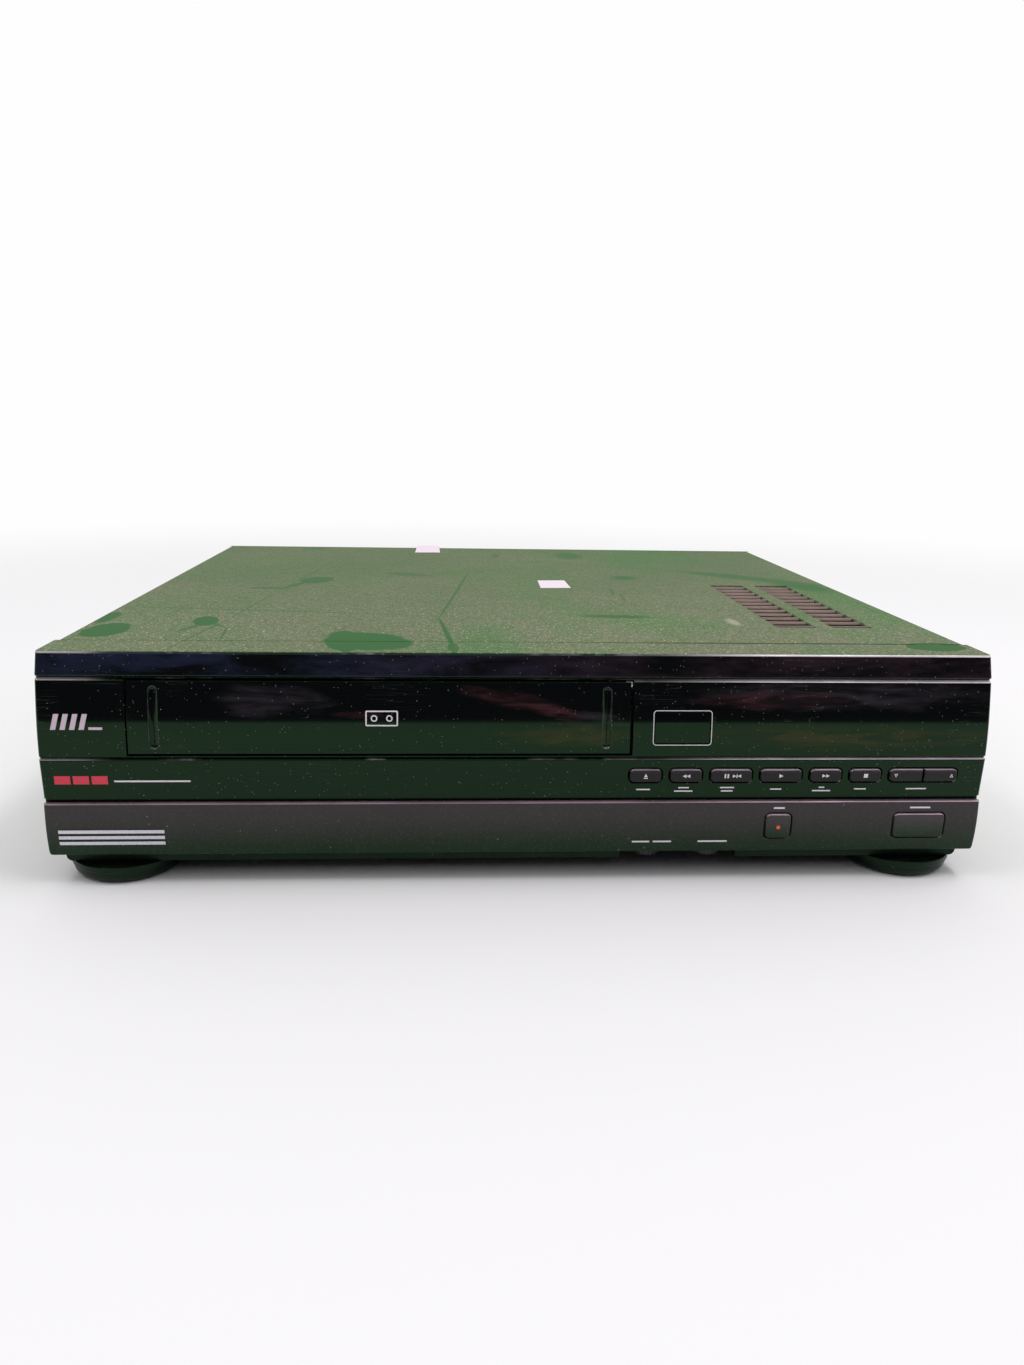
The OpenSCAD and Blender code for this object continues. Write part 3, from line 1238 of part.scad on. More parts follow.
top_cover();
front_bezel();
lower_front_panel();
display_window();
base_pan();
rear_panel();
feet();
foot_screws();
cover_screws();
chassis_screws();
deck_plate();
main_board();
power_transformer();
heat_sink();
tuner_module();
aerial_connectors();
video_audio_jacks();
mains_inlet();
channel_switch();
front_switch_board();
tracking_controls();
lower_drum();
capstan_bearing();
drive_belt();
loading_motor();
full_erase_head();
audio_control_head();
carriage_left_bracket();
carriage_right_bracket();
door_spring();
cassette_door();
eject_button();
rewind_button();
pause_button();
play_button();
fast_forward_button();
stop_button();
channel_down_button();
channel_up_button();
record_button();
power_button();
slow_tracking_wheel();
tracking_wheel();
upper_drum();
drum_rotor();
capstan();
clutch_pulley();
idler_arm();
idler_wheel();
supply_reel_table();
takeup_reel_table();
pinch_arm();
pinch_roller();
tension_arm();
supply_guide_block();
takeup_guide_block();
loading_pinion();
cam_gear();
carriage_frame();
cassette_holder();
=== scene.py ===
import json
import math
import bpy
import bmesh
from mathutils import Matrix, Vector


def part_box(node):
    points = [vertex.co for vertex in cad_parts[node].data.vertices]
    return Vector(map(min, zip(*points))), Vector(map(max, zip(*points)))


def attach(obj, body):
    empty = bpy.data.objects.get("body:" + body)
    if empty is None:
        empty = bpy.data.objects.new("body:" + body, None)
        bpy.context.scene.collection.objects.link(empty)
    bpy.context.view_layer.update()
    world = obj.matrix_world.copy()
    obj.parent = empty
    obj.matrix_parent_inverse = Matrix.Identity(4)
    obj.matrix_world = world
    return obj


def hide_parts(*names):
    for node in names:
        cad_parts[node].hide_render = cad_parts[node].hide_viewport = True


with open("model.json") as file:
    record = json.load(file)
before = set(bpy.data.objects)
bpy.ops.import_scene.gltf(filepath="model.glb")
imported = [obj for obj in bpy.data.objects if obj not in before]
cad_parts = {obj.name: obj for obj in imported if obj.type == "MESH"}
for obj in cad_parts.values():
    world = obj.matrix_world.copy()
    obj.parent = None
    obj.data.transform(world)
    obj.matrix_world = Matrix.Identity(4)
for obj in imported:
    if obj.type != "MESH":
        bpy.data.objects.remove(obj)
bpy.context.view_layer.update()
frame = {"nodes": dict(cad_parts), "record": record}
nodes = frame["nodes"]
print("frame loaded", len(nodes), "nodes")

# Pieces are drawn in millimetres from the middle of the top front edge, with z from the table
mm = 0.001
caseDepth = 348.0
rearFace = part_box("rear_panel")[1].y / mm
frontEdge = rearFace - caseDepth
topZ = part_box("front_bezel")[1].z / mm
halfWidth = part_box("front_bezel")[1].x / mm
lowZ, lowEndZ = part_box("lower_front_panel")[1].z / mm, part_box("lower_front_panel")[0].z / mm

front = {
    "stripHeight": 9.0, "stripLean": 3.0, "grooveHeight": 1.8, "grooveDepth": 1.4,
    "midHeight": 30.2, "midLean": 3.2, "midBulge": 3.3, "ledgeHeight": 1.2,
    "keyHeight": 16.4, "keyLean": 6.6, "keyBack": 1.1,
    "lowLean": 6.5, "lowBulge": 0.8, "lowBack": 0.8, "shelf": 3.6,
    "wall": 2.5, "returnDepth": 20.5, "endRound": 1.2,
}
stripZ = topZ - front["stripHeight"]
midZ = stripZ - front["grooveHeight"]
midEndZ = midZ - front["midHeight"]
keyZ = midEndZ - front["ledgeHeight"]
keyEndZ = keyZ - front["keyHeight"]


def place(x, y, z):
    return Vector((x * mm, (y + frontEdge) * mm, z * mm))


def midY(z):
    return -(front["midLean"] + front["midBulge"] * math.sin(math.pi / 2 * (midZ - z) / front["midHeight"]))


def keyY(z):
    return -(front["keyLean"] - front["keyBack"] * (keyZ - z) / front["keyHeight"])


def lowY(z):
    t = (lowZ - z) / (lowZ - lowEndZ)
    return -(front["lowLean"] + front["lowBulge"] * math.sin(math.pi * t) - front["lowBack"] * t)


# Outlines

def arc(cx, cy, r, a0, a1, steps):
    turns = [math.radians(a0 + (a1 - a0) * i / steps) for i in range(steps + 1)]
    return [(cx + r * math.cos(a), cy + r * math.sin(a)) for a in turns]


def roundBox(x0, z0, x1, z1, left, right=None, steps=8):
    # left and right are the radii of the corners at each end
    right = left if right is None else right
    return (arc(x0 + left, z0 + left, left, 180, 270, steps) + arc(x1 - right, z0 + right, right, 270, 360, steps)
            + arc(x1 - right, z1 - right, right, 0, 90, steps) + arc(x0 + left, z1 - left, left, 90, 180, steps))


def fillet(corners, steps=5):
    # corners are (a, b, radius); the radius rounds the line there
    line = []
    for i, (a, b, r) in enumerate(corners):
        here = Vector((a, b))
        if r == 0 or i in (0, len(corners) - 1):
            line.append((a, b))
            continue
        back = (Vector(corners[i - 1][:2]) - here).normalized()
        on = (Vector(corners[i + 1][:2]) - here).normalized()
        half = back.angle(on) / 2
        centre = here + (back + on).normalized() * (r / math.sin(half))
        start, end = here + back * (r / math.tan(half)) - centre, here + on * (r / math.tan(half)) - centre
        turn = math.atan2(start.x * end.y - start.y * end.x, start.dot(end))
        for k in range(steps + 1):
            c, s = math.cos(turn * k / steps), math.sin(turn * k / steps)
            line.append((centre.x + start.x * c - start.y * s, centre.y + start.x * s + start.y * c))
    return line


def bandLine(yOf, z0, z1, back=0.0, steps=16):
    return [(yOf(z0 + (z1 - z0) * i / steps) + back, z0 + (z1 - z0) * i / steps) for i in range(steps + 1)]


# Meshes

def addObject(name, data):
    thing = bpy.data.objects.new(name, data)
    bpy.context.scene.collection.objects.link(thing)
    return thing


def makePiece(name, points, faces):
    mesh = bpy.data.meshes.new(name)
    mesh.from_pydata([place(*p) for p in points], [], faces)
    mesh.validate()
    piece = addObject(name, mesh)
    cleanMesh(piece)
    return piece


def rework(piece, *edits):
    # each edit is a step on the open mesh
    work = bmesh.new()
    work.from_mesh(piece.data)
    for edit in edits:
        edit(work)
    work.to_mesh(piece.data)
    work.free()
    piece.data.update()


def cleanMesh(piece, doubles=0.002):
    rework(piece, lambda work: bmesh.ops.remove_doubles(work, verts=work.verts, dist=doubles * mm),
           lambda work: bmesh.ops.recalc_face_normals(work, faces=work.faces))


def loftRings(name, rings, closed=True):
    # rings are equally long loops of points; the first and the last are capped
    count = len(rings[0])
    points = [p for ring in rings for p in ring]
    faces = [[i * count + k, i * count + (k + 1) % count, (i + 1) * count + (k + 1) % count, (i + 1) * count + k]
             for i in range(len(rings) - 1) for k in range(count)]
    if closed:
        faces += [list(range(count))[::-1], [(len(rings) - 1) * count + k for k in range(count)]]
    return makePiece(name, points, faces)


def prismX(name, loop, x0, x1):
    return loftRings(name, [[(x, y, z) for y, z in loop] for x in (x0, x1)])


def prismY(name, loop, y0, y1):
    return loftRings(name, [[(x, y, z) for x, z in loop] for y in (y0, y1)])


def prismZ(name, loop, z0, z1):
    return loftRings(name, [[(x, y, z) for x, y in loop] for z in (z0, z1)])


def boxPiece(name, low, high):
    return prismZ(name, [(low[0], low[1]), (high[0], low[1]), (high[0], high[1]), (low[0], high[1])],
                  low[2], high[2])


def rodX(name, x0, x1, y, z, r, steps=32):
    return prismX(name, arc(y, z, r, 0, 360, steps)[:-1], x0, x1)


def joinPieces(target, others):
    rework(target, *[lambda work, mesh=piece.data: work.from_mesh(mesh) for piece in others])
    for piece in others:
        bpy.data.objects.remove(piece)
    return target


def bakeModifiers(piece):
    depsgraph = bpy.context.evaluated_depsgraph_get()
    mesh = bpy.data.meshes.new_from_object(piece.evaluated_get(depsgraph), depsgraph=depsgraph)
    piece.modifiers.clear()
    old = piece.data
    piece.data = mesh
    mesh.name = piece.name
    bpy.data.meshes.remove(old)
    return piece


def boolean(piece, other, operation="DIFFERENCE"):
    modifier = piece.modifiers.new("cut", "BOOLEAN")
    modifier.operation = operation
    modifier.solver = "EXACT"
    modifier.object = other
    bakeModifiers(piece)
    bpy.data.objects.remove(other)
    return piece


def softenEdges(piece, width, segments=2, angle=40):
    cleanMesh(piece)
    flat = math.radians(0.2)
    rework(piece, lambda work: bmesh.ops.dissolve_limit(work, angle_limit=flat, verts=work.verts, edges=work.edges))
    modifier = piece.modifiers.new("soft", "BEVEL")
    modifier.width = width * mm
    modifier.segments = segments
    modifier.limit_method = "ANGLE"
    modifier.angle_limit = math.radians(angle)
    modifier.use_clamp_overlap = False
    modifier.harden_normals = False
    bakeModifiers(piece)
    return piece


def smooth(piece, angle=32):
    # the large faces decide the shading at their edges
    for polygon in piece.data.polygons:
        polygon.use_smooth = True
    piece.data.set_sharp_from_angle(angle=math.radians(angle))
    modifier = piece.modifiers.new("weighted", "WEIGHTED_NORMAL")
    modifier.keep_sharp = True
    return bakeModifiers(piece)


def dress(piece, material, body, replaced=()):
    piece.data.materials.clear()
    piece.data.materials.append(material)
    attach(piece, body)
    if replaced:
        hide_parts(*replaced)
    return piece


# Material nodes

def linear(r, g, b):
    return tuple((c / 255 / 12.92 if c < 11 else ((c / 255 + 0.055) / 1.055) ** 2.4) for c in (r, g, b)) + (1.0,)


def scaled(colour, factor, lift=0.0):
    return tuple(min(1.0, c * factor + lift) for c in colour[:3]) + (1.0,)


def feed(node, name, value):
    # a number or colour is set on the socket, a socket is linked to it
    if isinstance(value, bpy.types.NodeSocket):
        node.id_data.links.new(value, node.inputs[name])
    else:
        node.inputs[name].default_value = value


def fill(node, inputs):
    for name, value in inputs.items():
        feed(node, name, value)
    return node


def addNode(near, kind, inputs, **settings):
    # a new node in the tree of the given socket or node
    node = near.id_data.nodes.new(kind)
    for name, value in settings.items():
        setattr(node, name, value)
    return fill(node, inputs)


def startMaterial(name):
    material = bpy.data.materials.new(name)
    material.use_nodes = True
    nodes = material.node_tree.nodes
    nodes.clear()
    out, shader = nodes.new("ShaderNodeOutputMaterial"), nodes.new("ShaderNodeBsdfPrincipled")
    feed(out, "Surface", shader.outputs[0])
    return material, shader, nodes.new("ShaderNodeTexCoord").outputs["Object"]


def mapped(coords, scale, turn=(0, 0, 0), move=(0, 0, 0), kind="POINT"):
    inputs = {"Vector": coords, "Scale": scale, "Rotation": [math.radians(a) for a in turn], "Location": move}
    return addNode(coords, "ShaderNodeMapping", inputs, vector_type=kind).outputs[0]


def noise(coords, scale, detail=3.0, rough=0.5, warp=0.0):
    inputs = {"Vector": coords, "Scale": scale, "Detail": detail, "Roughness": rough, "Distortion": warp}
    return addNode(coords, "ShaderNodeTexNoise", inputs).outputs["Fac"]


def ramp(source, low, high, start=0.0, end=1.0):
    inputs = {"Value": source, "From Min": low, "From Max": high, "To Min": start, "To Max": end}
    return addNode(source, "ShaderNodeMapRange", inputs, interpolation_type="SMOOTHSTEP").outputs[0]


def maths(operation, *values):
    near = next(value for value in values if isinstance(value, bpy.types.NodeSocket))
    return addNode(near, "ShaderNodeMath", dict(enumerate(values)), operation=operation).outputs[0]


def times(first, *others):
    for other in others:
        first = maths("MULTIPLY", first, other)
    return first


def larger(first, *others):
    for other in others:
        first = maths("MAXIMUM", first, other)
    return first


def plus(a, b):
    return maths("ADD", a, b)


def minus(a, b):
    return maths("SUBTRACT", a, b)


def apart(a, b):
    return maths("ABSOLUTE", minus(a, b))


def blendColours(factor, a, b):
    return addNode(factor, "ShaderNodeMix", {0: factor, 6: a, 7: b}, data_type="RGBA").outputs[2]


def bumped(shader, height, distance, strength=1.0):
    inputs = {"Height": height, "Distance": distance * mm, "Strength": strength}
    feed(shader, "Normal", addNode(height, "ShaderNodeBump", inputs).outputs[0])


def axis(vector, name):
    return addNode(vector, "ShaderNodeSeparateXYZ", {0: vector}).outputs[name]


def vectorLength(vector):
    return addNode(vector, "ShaderNodeVectorMath", {0: vector}, operation="LENGTH").outputs["Value"]


def specks(coords, scale, size, share):
    # round dust specks: one in each cell, and only a share of the cells
    cell = addNode(coords, "ShaderNodeTexVoronoi", {"Vector": coords, "Scale": scale})
    dot = ramp(cell.outputs["Distance"], size, size * 0.5)
    return times(dot, ramp(axis(cell.outputs["Color"], "X"), share, share * 0.9))


def scratches(coords, turn, thin, share):
    # long thin lines where stretched noise crosses a narrow range
    line = noise(mapped(coords, (18, 18, thin), turn), 1.0, 1.0, 0.4)
    return times(ramp(apart(line, 0.5), 0.006, 0.0), ramp(noise(coords, 26, 2.0), 1 - share, 1.02 - share))


def upFacing(near, low, high):
    return ramp(axis(addNode(near, "ShaderNodeNewGeometry", {}).outputs["Normal"], "Z"), low, high)


def coatOver(under, over, factor):
    mixed = addNode(under, "ShaderNodeMixShader", {0: factor, 1: under, 2: over}).outputs[0]
    feed(next(n for n in under.id_data.nodes if n.type == "OUTPUT_MATERIAL"), "Surface", mixed)
    return mixed


def oval(coords, spot, reach, turn, soft, warp):
    # 1 inside and 0 outside an uneven outline; turn and reach are (x, y, z)
    local = mapped(coords, [a * mm for a in reach], turn, place(*spot), "TEXTURE")
    return ramp(plus(vectorLength(local), warp), 1.0, 0.35 if soft else 0.88)


def unevenness(coords, scale, amount):
    return times(minus(noise(coords, scale, 3.0, 0.6), 0.5), amount)


# the share of the painted edge highlight runs over x in metres, from low to high, as ramp reads it
edgeHighlight = {
    "start": 0.4, "full": 0.55, "stop": 0.9, "blur": 0.06, "dim": 0.6, "shine": 1.0,
    "right": (0.03, 0.13), "left": (-0.16, -0.18, 0.0, 0.45), "dash": (0.58, 0.7, 0.0, 0.6),
    "dashSide": (0.0, -0.12, 0.25, 1.0),
}


def paintedEdgeHighlight(coords, colour, start=edgeHighlight["start"], full=edgeHighlight["full"], stop=edgeHighlight["stop"]):
    # the rounded upper edges get a pale painted highlight, most at both ends and in short dashes between
    patchNoise = noise(mapped(coords, (1, 0.1, 0.1)), 34, 3.0, 0.6)
    shader = addNode(coords, "ShaderNodeBsdfPrincipled", {
        "Base Color": blendColours(ramp(patchNoise, 0.35, 0.65), scaled(colour, edgeHighlight["dim"]), colour),
        "Roughness": ramp(patchNoise, 0.3, 0.7, 0.3, 0.18), "Specular IOR Level": edgeHighlight["shine"]})
    side = axis(coords, "X")
    ends = larger(ramp(side, *edgeHighlight["right"]), ramp(side, *edgeHighlight["left"]))
    dashes = times(ramp(patchNoise, *edgeHighlight["dash"]), ramp(side, *edgeHighlight["dashSide"]))
    share = times(larger(ends, dashes), upFacing(coords, stop + edgeHighlight["blur"], stop))
    return shader.outputs[0], times(upFacing(coords, start, full), share)


# Sizes that the finishes also read

deckX = (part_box("cassette_door")[0].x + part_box("cassette_door")[1].x) / 2 / mm
strip = {"centre": keyZ - 7.0, "height": 5.6, "round": 1.9, "proud": 0.9, "finish": "key_black", "slot": "key_black"}
door = {
    "inset": 0.3, "thickness": 2.2, "left": 99.1, "right": 98.5, "low": 55.15, "high": 83.95, "edge": 0.22,
    "grooveX": 89.0, "grooveWidth": 3.5, "grooveHeight": 24.8,
    "groove": [(-1.1, -1.0), (0.0, 0.0), (0.25, 0.5), (0.7, 0.8), (1.2, 0.92), (1.68, 0.95)],
    "lugX": 94.2, "lugWidth": 2.0, "lugY": (-2.5, 0.4), "lugZ": (-3.0, 0.8), "stub": 1.2, "stubEnd": 102.6,
    "pocketX": (96.4, 101.0), "pocketY": (-2.4, 4.0), "pocketZ": (69.0, 92.0),
}

# Finishes

# the cover is black: its green colours are a painted reflection of green surroundings, under real dust
enamel = {
    "clean": linear(30, 92, 28), "haze": linear(128, 129, 106), "greenerHazeAndReflection": linear(106, 132, 92),
    "speck": linear(222, 214, 194), "seamShadeColour": linear(26, 44, 24), "tint": linear(120, 214, 120),
    "roughness": 0.42, "shine": 0.03, "seamY": 20.7, "seamOuter": 1.3, "seamInner": 0.5,
}
# places where the dust is wiped away, and paler ones:
# x, y from the front, half length, half width, turn, strength, soft
wipes = [
    (-176.7, 40.8, 16.5, 9.8, 85, 1.0, 0), (-185.2, 70.3, 13.9, 4.9, 87, 0.9, 0),
    (-139.6, 62.4, 12.2, 6.0, -80, 1.0, 0), (-142.9, 47.3, 10.1, 1.4, 67, 0.8, 0),
    (-134.1, 55.5, 9.4, 1.2, -48, 0.8, 0), (-125.9, 36.0, 14.8, 0.6, -84, 0.8, 0),
    (-135.8, 35.7, 31.3, 0.7, 80, 0.6, 0), (-126.8, 101.5, 35.3, 0.6, 84, 0.6, 0),
    (-114.6, 202.8, 73.8, 0.6, 83, 0.5, 0), (-64.5, 21.3, 21.7, 16.7, -42, 1.0, 0),
    (-73.5, 21.1, 21.8, 8.1, -83, 1.0, 0), (-129.0, 157.2, 12.0, 3.3, -6, 0.7, 0),
    (-116.3, 168.5, 12.7, 2.4, 70, 0.8, 0), (-106.8, 187.6, 13.2, 9.4, 74, 0.9, 0),
    (-55.5, 212.8, 19.2, 9.7, -22, 0.6, 1), (-27.6, 149.1, 84.8, 0.8, 84, 0.8, 0),
    (-31.6, 36.6, 36.4, 1.2, -84, 0.9, 0), (-29.0, 8.7, 9.6, 2.4, -87, 0.8, 0),
    (-118.4, 89.6, 72.6, 1.2, -7, 0.5, 0), (-126.7, 334.3, 14.0, 7.1, 4, 0.7, 1),
    (-0.4, 305.3, 13.8, 3.5, 87, 0.7, 1), (50.8, 309.6, 23.6, 12.0, -86, 0.9, 1),
    (73.2, 206.6, 11.7, 10.1, 76, 0.9, 1), (47.5, 80.4, 24.8, 5.8, -4, 0.9, 1),
    (57.8, 153.6, 13.7, 0.8, 86, 0.5, 0), (60.6, 134.0, 12.7, 1.1, 88, 0.5, 0),
    (148.3, 211.4, 62.9, 12.2, -38, 0.8, 1), (172.2, 181.3, 31.2, 16.3, -63, 0.9, 1),
    (173.6, 15.5, 13.3, 9.3, 3, 1.0, 0),
]
paleMarks = [(172.9, 20.5, 5.9, 0.5, -4, 0.8, 0), (101.8, 68.5, 12.0, 4.0, -88, 0.3, 1)]


def wipedAway(coords, group, warp):
    return larger(*[times(oval(coords, (x, y, topZ), (long, wide, 1000.0), (0, 0, turn), soft, warp), strength)
                    for x, y, long, wide, turn, strength, soft in group])


def fillEnamel(shader, coords):
    side, depth = axis(coords, "X"), axis(coords, "Y")
    # dust lies denser towards the front, and is wiped away in smudges and thin streaks
    along = ramp(depth, 0.2, -0.17, 0.62, 0.86)
    cloud = ramp(noise(coords, 9, 4.0, 0.6, 0.6), 0.3, 0.75, 0.8, 1.1)
    grain = ramp(noise(coords, 900, 2.0, 0.7), 0.4, 0.62, 0.5, 1.35)
    warp = unevenness(coords, 90, 0.5)
    haze = times(along, cloud, grain, minus(1.0, wipedAway(coords, wipes, warp)))
    # the haze turns greener on the right as a painted green reflection, and pale specks lie near the front
    greenerPatch = ramp(noise(mapped(coords, (1, 0.55, 1), (0, 0, 24)), 11, 3.0, 0.55, 0.5), 0.42, 0.66)
    thin = times(greenerPatch, ramp(side, -0.15, 0.0, 0.35, 0.9))
    # where the dust is thin or wiped, the painted green reflection shows
    base = blendColours(haze, enamel["clean"], blendColours(thin, enamel["haze"], enamel["greenerHazeAndReflection"]))
    dots = larger(times(specks(coords, 760, 0.3, 0.55), 0.75), specks(coords, 380, 0.17, 0.45))
    dots = larger(times(dots, ramp(depth, 0.02, -0.14, 0.15, 1.0), haze), wipedAway(coords, paleMarks, warp))
    colour = blendColours(dots, base, enamel["speck"])
    # painted shade along the joint between the bezel and the cover, mostly on the right
    off = apart(depth, place(0, enamel["seamY"], 0).y)
    seamShade = times(ramp(off, enamel["seamOuter"] * mm, enamel["seamInner"] * mm), ramp(side, 0.0, 0.08, 0.15, 0.75))
    fill(shader, {"Base Color": blendColours(seamShade, colour, enamel["seamShadeColour"]), "Specular Tint": enamel["tint"],
                  "Specular IOR Level": enamel["shine"],
                  "Roughness": plus(enamel["roughness"], times(haze, 0.3))})
    bumped(shader, noise(coords, 1500, 2.0, 0.6), 0.02, 0.35)


def makeEnamel():
    material, shader, coords = startMaterial("coverEnamel")
    fillEnamel(shader, coords)
    return material


gloss = {
    "base": (0.0035, 0.0038, 0.0045, 1.0), "lens": (0.003, 0.003, 0.004, 1.0), "dust": linear(170, 166, 166),
    "tint": (0.31, 0.74, 0.34, 1.0), "roughness": 0.07, "lensRoughness": 0.04, "shine": 0.42,
    # edge is the colour of the painted edge highlight, and lip that of the painted highlight round the finger grooves
    "edge": linear(238, 224, 232), "lip": linear(84, 80, 84), "lipOuter": 0.24, "lipInner": 0.1,
    "dustOuter": 1.6, "dustInner": 0.8,
}
reflectionTints = {
    "blue": (0.016, 0.019, 0.042, 1.0), "red": (0.024, 0.014, 0.020, 1.0), "violet": (0.030, 0.025, 0.032, 1.0),
    "reddish": (0.052, 0.020, 0.024, 1.0), "olive": (0.034, 0.018, 0.008, 1.0),
}
# patches of painted reflection on the face: x, z, half length, half height, turn, colour of the patch
reflectionPatches = [
    (-107, 76.5, 17, 8.5, 0, "violet"), (-88, 78, 15, 4.5, 12, "violet"), (-67, 70.6, 13, 1.9, 3, "reddish"),
    (-10, 77.5, 20, 3.4, 14, "reddish"), (10, 73, 24, 4.2, 20, "reddish"), (30, 69.5, 15, 3.0, 10, "violet"),
    (64, 71, 12, 2.6, 0, "reddish"), (128, 79, 72, 7.5, 0, "violet"), (100, 77, 40, 4.0, 0, "reddish"),
    (128, 62, 74, 6.5, 0, "olive"), (18, 62, 34, 5.0, 0, "olive"),
]


def paintedFaceReflections(coords, base):
    # the top strip gets a painted reflection, bluish on the left and reddish on the right, and the face gets patches of
    # painted reflection
    streaks = ramp(noise(mapped(coords, (1, 1, 3.5)), 30, 4.0, 0.65, 0.4), 0.34, 0.7)
    onStrip = times(ramp(axis(coords, "Z"), (stripZ - 0.6) * mm, stripZ * mm), streaks)
    stripReflection = blendColours(ramp(axis(coords, "X"), -0.12, 0.08), reflectionTints["blue"], reflectionTints["red"])
    colour = blendColours(onStrip, base, stripReflection)
    colour = blendColours(grooveLipHighlight(coords), colour, gloss["lip"])
    warp = unevenness(mapped(coords, (1, 1, 3)), 60, 0.9)
    lines = ramp(noise(mapped(coords, (1, 1, 7), (0, 14, 0)), 40, 3.0, 0.6, 0.5), 0.36, 0.66, 0.15, 1.0)
    for x, z, long, high, turn, name in reflectionPatches:
        reflectionPatch = oval(coords, (x, 0, z), (long, 1000.0, high), (0, turn, 0), True, warp)
        colour = blendColours(times(reflectionPatch, lines), colour, reflectionTints[name])
    return colour


def grooveLipHighlight(coords):
    # the lips of the door's finger grooves get a painted highlight: an even distance round each groove's middle line
    away = minus(apart(axis(coords, "X"), deckX * mm), door["grooveX"] * mm)
    middle = (door["high"] + door["low"]) / 2 * mm
    straight = (door["grooveHeight"] - door["grooveWidth"]) / 2 * mm
    along = larger(minus(apart(axis(coords, "Z"), middle), straight), 0.0)
    reach = maths("SQRT", plus(times(away, away), times(along, along)))
    lip = ramp(apart(reach, door["grooveWidth"] / 2 * mm), gloss["lipOuter"] * mm, gloss["lipInner"] * mm)
    highlightBreakup = ramp(noise(coords, 240, 3.0, 0.6), 0.35, 0.62, 0.3, 1.0)
    return times(lip, highlightBreakup, plus(0.5, ramp(along, 0.0, 1.6 * mm, 0.0, 0.5)))


def makeGloss(name, roughness, base, dustAndReflections=True):
    material, shader, coords = startMaterial(name)
    small = specks(coords, 620, 0.13, 0.5)
    large = specks(mapped(coords, (1, 1, 1.3), (20, 0, 0), (0.07, 0, 0.02)), 230, 0.075, 0.42)
    lines = larger(scratches(coords, (0, 38, 0), 900, 0.4), scratches(coords, (0, -54, 0), 700, 0.4))
    marks = larger(small, large, times(lines, 0.14))
    colour = paintedFaceReflections(coords, base) if dustAndReflections else base
    fill(shader, {"Base Color": blendColours(times(marks, 0.5), colour, gloss["dust"]), "Specular Tint": gloss["tint"],
                  "Specular IOR Level": gloss["shine"], "Roughness": plus(roughness, times(marks, 0.3))})
    bumped(shader, noise(coords, 120, 2.0, 0.5), 0.02, 0.1)
    # the rounded upper edges get a pale painted highlight
    result = coatOver(shader.outputs[0], *paintedEdgeHighlight(coords, gloss["edge"]))
    if dustAndReflections:
        # flat tops carry the same haze and painted green reflection as the cover
        top = addNode(coords, "ShaderNodeBsdfPrincipled", {})
        fillEnamel(top, coords)
        level = ramp(axis(coords, "Z"), (topZ - gloss["dustOuter"]) * mm, (topZ - gloss["dustInner"]) * mm)
        coatOver(result, top.outputs[0], times(upFacing(coords, 0.8, 0.97), level))
    return material


satin = {
    # high is the painted highlight on the keys' upper part, between from and to above the middle; edge is the painted
    # edge highlight
    "low": (linear(12, 10, 12), linear(19, 16, 19)), "high": (linear(34, 28, 33), linear(48, 40, 46)),
    "from": 0.9, "to": 2.5, "shine": 0.3, "edge": linear(150, 136, 146), "edgeFrom": 0.2, "edgeTo": 0.5,
}


def makeKeyBlack():
    # satin keys with a purple grey painted highlight on their upper part and upper edges
    material, shader, coords = startMaterial("keyBlack")
    patchNoise = ramp(noise(coords, 160, 3.0, 0.6), 0.35, 0.65)
    upperHighlight = ramp(axis(coords, "Z"), (strip["centre"] + satin["from"]) * mm, (strip["centre"] + satin["to"]) * mm)
    low, high = (blendColours(patchNoise, *satin[part]) for part in ("low", "high"))
    fill(shader, {"Base Color": blendColours(upperHighlight, low, high), "Specular IOR Level": satin["shine"],
                  "Roughness": ramp(patchNoise, 0.0, 1.0, 0.24, 0.34)})
    bumped(shader, noise(coords, 1300, 2.0, 0.5), 0.01, 0.4)
    edge, share = paintedEdgeHighlight(coords, satin["edge"], satin["edgeFrom"], satin["edgeTo"], 2.0)
    # painted highlight on the upper edges and on up-facing faces
    coatOver(shader.outputs[0], edge, larger(share, upFacing(coords, 0.45, 0.8)))
    return material


charcoal = {
    # foot is a painted green reflection and top a painted highlight; edge is the painted edge highlight
    "foot": (6, 24, 8), "top": (66, 51, 61), "sparkle": linear(140, 134, 138), "dust": linear(150, 150, 140),
    "tint": (0.55, 1.0, 0.6, 1.0), "shine": 0.35, "edge": linear(196, 166, 182), "edgeFrom": 0.35, "edgeTo": 0.55,
}


def makeCharcoal(name, low, high, lift=0):
    # a moulded panel that goes from a dark green foot, a painted reflection, to a purplish top, a painted highlight
    material, shader, coords = startMaterial(name)
    foot, top = (linear(*[c + lift for c in charcoal[part]]) for part in ("foot", "top"))
    base = blendColours(ramp(axis(coords, "Z"), low * mm, high * mm), foot, top)
    base = blendColours(times(specks(coords, 2100, 0.34, 0.3), 0.3), base, charcoal["sparkle"])
    base = blendColours(times(specks(coords, 280, 0.12, 0.15), 0.4), base, charcoal["dust"])
    fill(shader, {"Base Color": base, "Roughness": ramp(noise(coords, 60, 3.0), 0.3, 0.7, 0.4, 0.5),
                  "Specular Tint": charcoal["tint"], "Specular IOR Level": charcoal["shine"]})
    bumped(shader, noise(coords, 2600, 1.0, 0.5), 0.012, 0.5)
    # painted highlight on the upper edges and, at half strength, on up-facing faces
    edge, share = paintedEdgeHighlight(coords, charcoal["edge"], charcoal["edgeFrom"], charcoal["edgeTo"])
    coatOver(shader.outputs[0], edge, larger(share, times(upFacing(coords, 0.3, 0.6), 0.5)))
    return material


